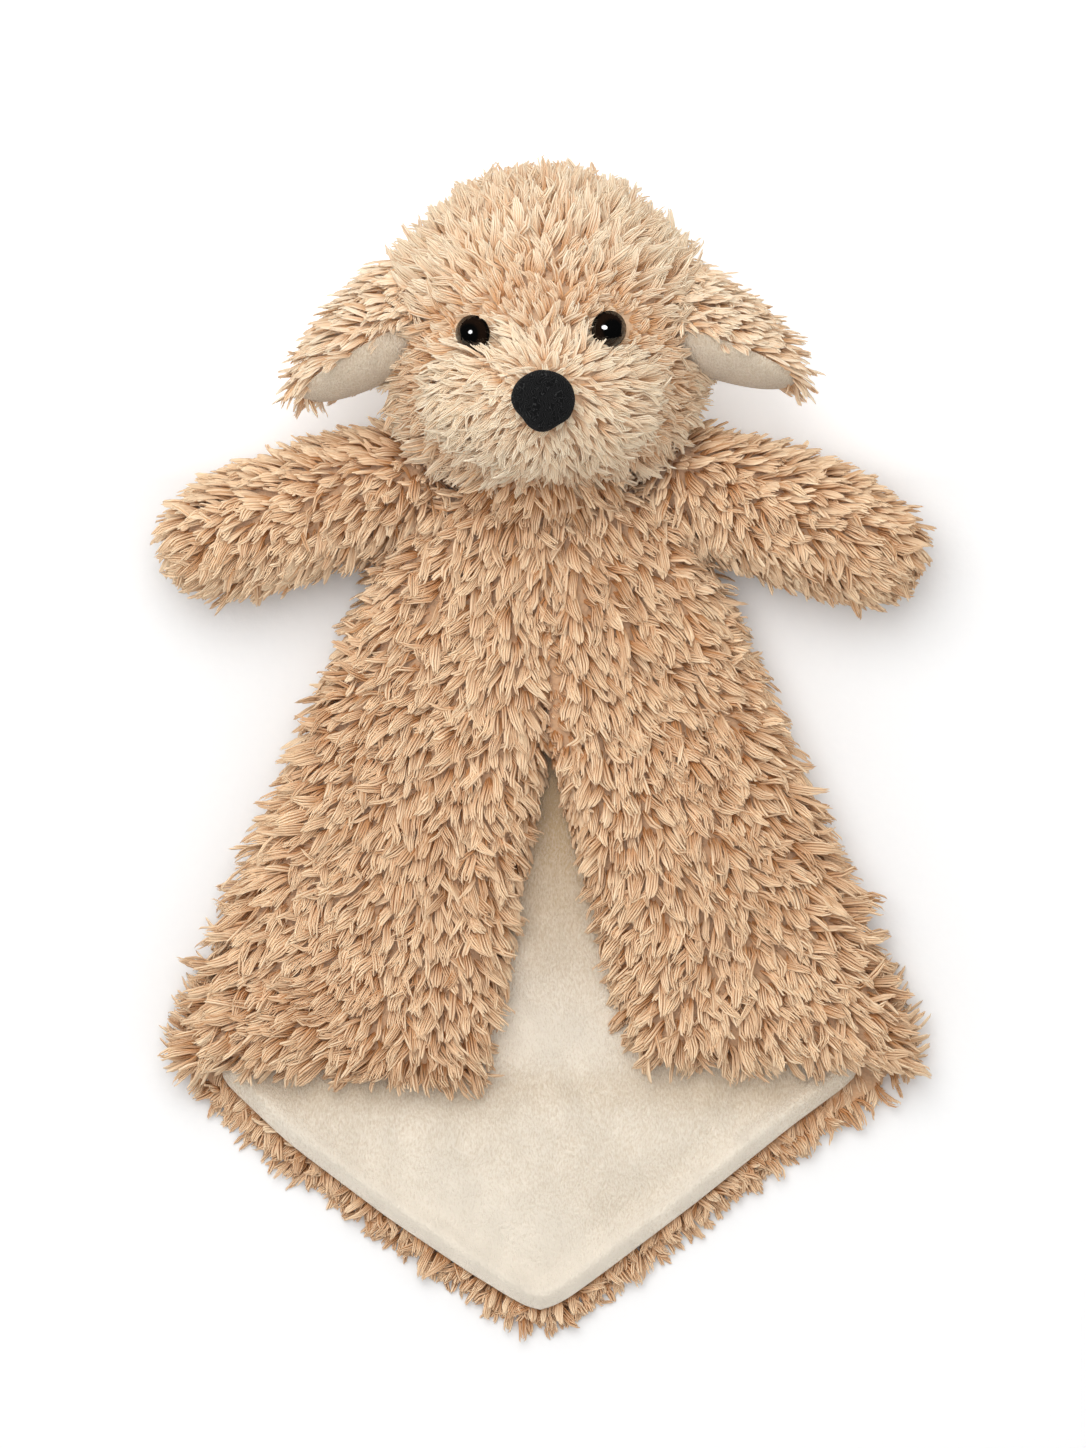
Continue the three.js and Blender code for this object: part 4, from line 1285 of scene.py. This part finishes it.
class LOVEY_OT_arms(bpy.types.Operator):
    """Makes the two stuffed arms with their pile."""

    bl_idname = "lovey.arms"
    bl_label = "Arms"

    def execute(self, context):
        spacing, width, reach = pile_sizes(context)
        shares = [0.5, 0.7, 0.84, 0.9, 0.95, 1.0, 1.0, 0.96, 0.8, 0.5, 0]
        places = [0, 0.03, 0.12, 0.25, 0.4, 0.55, 0.7, 0.83, 0.93, 0.985, 1]
        for side, name in SIDES.items():
            droop = ARM_DROOPS[side]
            direction = np.array([side * math.cos(droop), -math.sin(droop), 0])
            across = np.array([-direction[1], direction[0], 0]) * side
            root = ARM_ROOT * [side, 1, 1]
            arm = ball(f"arm_{name}_plush", 0, 1, 24, 24)
            raw = points_of(arm)
            t = (1 - raw[:, 2]) / 2
            around = unit(raw[:, :2] + 1e-9)
            shrink = 2.6
            radius = np.interp(t, places, shares) * (20 - shrink)
            along = -6 + t * (89 - shrink)
            taper = 1 - 0.3 * step(0.45, 1, t) * step(-0.2, 0.8, around[:, 0])
            local = np.column_stack([along, around[:, 0] * radius * taper, around[:, 1] * radius])
            set_points(arm, root + local @ np.array([direction, across, [0, 0, 1]]))
            face_outwards(arm)
            stuffed(arm, 4, 1.5)
            arm.data.materials.append(material("backing"))

            def on_arm(points, normals, root=root, direction=direction):
                return (points - root) @ direction > -9

            def arm_flow(points, normals, root=root, direction=direction, across=across):
                t = (points - root) @ direction / 83
                up = (points - root) @ across / 16
                lower = mix(-0.85, 0.3 - 0.5 * t, step(0.1, 1.0, up)) * (1 - 0.4 * t)
                turn = 0.25 * swirl(points, 18, 52)
                outward = direction * (1 + 0.6 * t)[:, None]
                return outward + across * (lower + turn)[:, None] + [0, 0, -0.2]

            def arm_size(points, normals):
                floor = points[:, 2] < 9
                return {
                    "length": reach * np.where(floor, 0.7, 1),
                    "width": width,
                    "lift": np.where(floor, 0.25, 0.82), "end": np.where(floor, 0.0, 0.25),
                    "pale": 3.6 + 0.9 * swirl(points, 22, 54),
                }

            fur = cover_with_pile(
                f"arm_{name}_pile", arm, "pile", spacing, on_arm, arm_flow, arm_size, 90 + side
            )
            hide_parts(f"arm_{name}_cover", f"arm_{name}_stuffing")
            for piece in (arm, fur):
                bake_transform(piece)
        return {"FINISHED"}


class LOVEY_OT_face(bpy.types.Operator):
    """Makes the felt nose and the button eyes, and gives the washers behind them their material."""

    bl_idname = "lovey.face"
    bl_label = "Nose and eyes"

    def nose(self):
        nose, raw = unit_ball("nose_felt", 48, 28)
        angle = np.arctan2(raw[:, 1], raw[:, 0])
        low_left = np.exp(-(((np.degrees(angle) + 140) / 22) ** 2))
        low_right = np.exp(-(((np.degrees(angle) + 58) / 20) ** 2))
        swell = 1 + 0.015 * np.sin(3 * angle) - 0.12 * low_left - 0.07 * low_right
        flat = np.hypot(raw[:, 0], raw[:, 1])
        keep = np.where(flat > 1e-6, flat**0.86 / np.maximum(flat, 1e-6), 1) * swell
        lumps = 1 + 0.012 * swirl(raw, 0.22, 61)
        x, y = raw[:, 0] * keep * 10.25 * lumps, raw[:, 1] * keep * 10 * lumps
        z = 4.6 + raw[:, 2] * 4.6 * lumps
        set_points(nose, np.column_stack([x, y, z]) + NOSE_MIDDLE)
        nose.data.shade_smooth()
        return nose

    def eye(self, side):
        middle, normal = eye_frame(side)
        eye, raw = unit_ball(f"eye_{SIDES[side]}_button", 40, 32)
        out = np.hypot(raw[:, 0], raw[:, 1])
        dome = raw[:, 2] >= -1e-4
        local = np.column_stack([raw[:, :2] * 6, np.where(dome, 4.2 * (1 - out**2), raw[:, 2] * 3.4) - 1.0])
        right = unit(np.cross([0, 1, 0], normal))
        set_points(eye, middle + local @ np.array([right, np.cross(normal, right), normal]))
        layer = eye.data.attributes.new("from_middle", "FLOAT", "POINT")
        layer.data.foreach_set("value", np.where(dome, out, 1).astype(np.float32))
        eye.data.shade_smooth()
        return eye

    def execute(self, context):
        nose = self.nose()
        nose.data.materials.append(material("felt"))
        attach(nose, "head")
        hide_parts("nose")
        for side, name in SIDES.items():
            eye = self.eye(side)
            eye.data.materials.append(material("eye"))
            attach(eye, "head")
            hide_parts(f"eye_{name}")
            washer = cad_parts[f"eye_washer_{name}"]
            washer.data.materials.clear()
            washer.data.materials.append(material("washer"))
        return {"FINISHED"}


class LOVEY_OT_stage(bpy.types.Operator):
    """Makes the camera straight above, the white floor and the soft studio light."""

    bl_idname = "lovey.stage"
    bl_label = "Camera, floor and light"

    def execute(self, context):
        scene = context.scene
        settings = scene.lovey_stage
        # the picture shows 470 mm from top to bottom at the height of the blanket's front
        lens, sensor, shown, front_height = 400.0, 36.0, 0.470, 0.030
        distance = shown * lens / sensor
        camera = bpy.data.objects.new("Camera", bpy.data.cameras.new("Camera"))
        camera.data.lens, camera.data.sensor_width = lens, sensor
        camera.location = (-0.0006, 0.0053, front_height + distance)
        scene.collection.objects.link(camera)
        scene.camera = camera
        scene.view_settings.view_transform = "Standard"
        bpy.ops.object.select_all(action="DESELECT")
        bpy.ops.mesh.primitive_plane_add(size=1)
        floor = context.object
        floor.name = floor.data.name = "floor"
        set_points(floor, points_of(floor) * MM * [6000, 6000, 1])
        floor.data.materials.append(material("floor"))
        floor.visible_glossy = False
        world = bpy.data.worlds.new("Studio")
        world.use_nodes = True
        tree = world.node_tree
        back = tree.nodes["Background"]
        back.inputs[0].default_value = (1, 1, 1, 1)
        # what is glossy sees a darker room, as in a studio with one lamp
        glossy = add(tree, "ShaderNodeLightPath").outputs["Is Glossy Ray"]
        sky = settings.sky_strength
        tree.links.new(maths(tree, "MULTIPLY_ADD", glossy, -0.97 * sky, sky), back.inputs[1])
        scene.world = world
        self.lamp("key", place=(-0.28, 0.6, 1.65), size=1.6, radiance=settings.key_strength, lights_all=True)
        self.lamp("glint", place=(-0.56, 0.42, 1.45), size=0.8, radiance=30.0, lights_all=False)
        return {"FINISHED"}

    def lamp(self, name, place, size, radiance, lights_all):
        """A round soft light aimed at the toy. The glint is seen only in what is glossy."""
        lamp = bpy.data.objects.new(name, bpy.data.lights.new(name, "AREA"))
        lamp.data.shape = "DISK"
        lamp.data.size = size
        lamp.data.energy = radiance * math.pi * math.pi * (size / 2) ** 2
        lamp.location = place
        aim = -np.array(place) + [0, 0.05, 0.03]
        lamp.rotation_mode = "QUATERNION"
        lamp.rotation_quaternion = Vector(aim).to_track_quat("-Z", "Y")
        lamp.visible_camera = False
        lamp.visible_glossy = not lights_all
        if not lights_all:
            lamp.visible_diffuse = False
            lamp.data.use_shadow = False
        bpy.context.scene.collection.objects.link(lamp)


STEPS = (
    LOVEY_OT_stage,
    LOVEY_OT_blanket,
    LOVEY_OT_lining,
    LOVEY_OT_head,
    LOVEY_OT_ears,
    LOVEY_OT_arms,
    LOVEY_OT_face,
)


class LOVEY_PT_panel(bpy.types.Panel):
    """Lists the steps that build the comfort blanket."""

    bl_idname = "LOVEY_PT_panel"
    bl_label = "Comfort blanket"
    bl_space_type = "VIEW_3D"
    bl_region_type = "UI"
    bl_category = "Lovey"

    def draw(self, context):
        for group in ("lovey_pile", "lovey_lining", "lovey_face", "lovey_stage"):
            box = self.layout.box()
            settings = getattr(context.scene, group)
            for name in settings.bl_rna.properties.keys():
                if name not in ("rna_type", "name"):
                    box.prop(settings, name)
        for made_step in STEPS:
            self.layout.operator(made_step.bl_idname)


GROUPS = {
    "lovey_pile": PileSettings,
    "lovey_lining": LiningSettings,
    "lovey_face": FaceSettings,
    "lovey_stage": StageSettings,
}


def register():
    for cls in (*GROUPS.values(), *STEPS, LOVEY_PT_panel):
        bpy.utils.register_class(cls)
    for name, cls in GROUPS.items():
        setattr(bpy.types.Scene, name, bpy.props.PointerProperty(type=cls))


def unregister():
    for name in GROUPS:
        delattr(bpy.types.Scene, name)
    for cls in reversed((*GROUPS.values(), *STEPS, LOVEY_PT_panel)):
        bpy.utils.unregister_class(cls)


def main():
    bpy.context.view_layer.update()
    register()
    strand = strand_shape()
    lock_shapes["lock"] = [lock_shape(strand, 5, seed) for seed in (1, 2, 3, 4)]
    lock_shapes["wisp"] = [lock_shape(strand, 2, seed) for seed in (5, 6)]
    for made_step in STEPS:
        group, name = made_step.bl_idname.split(".")
        getattr(getattr(bpy.ops, group), name)()
    bpy.context.view_layer.update()


if __name__ == "__main__":
    main()
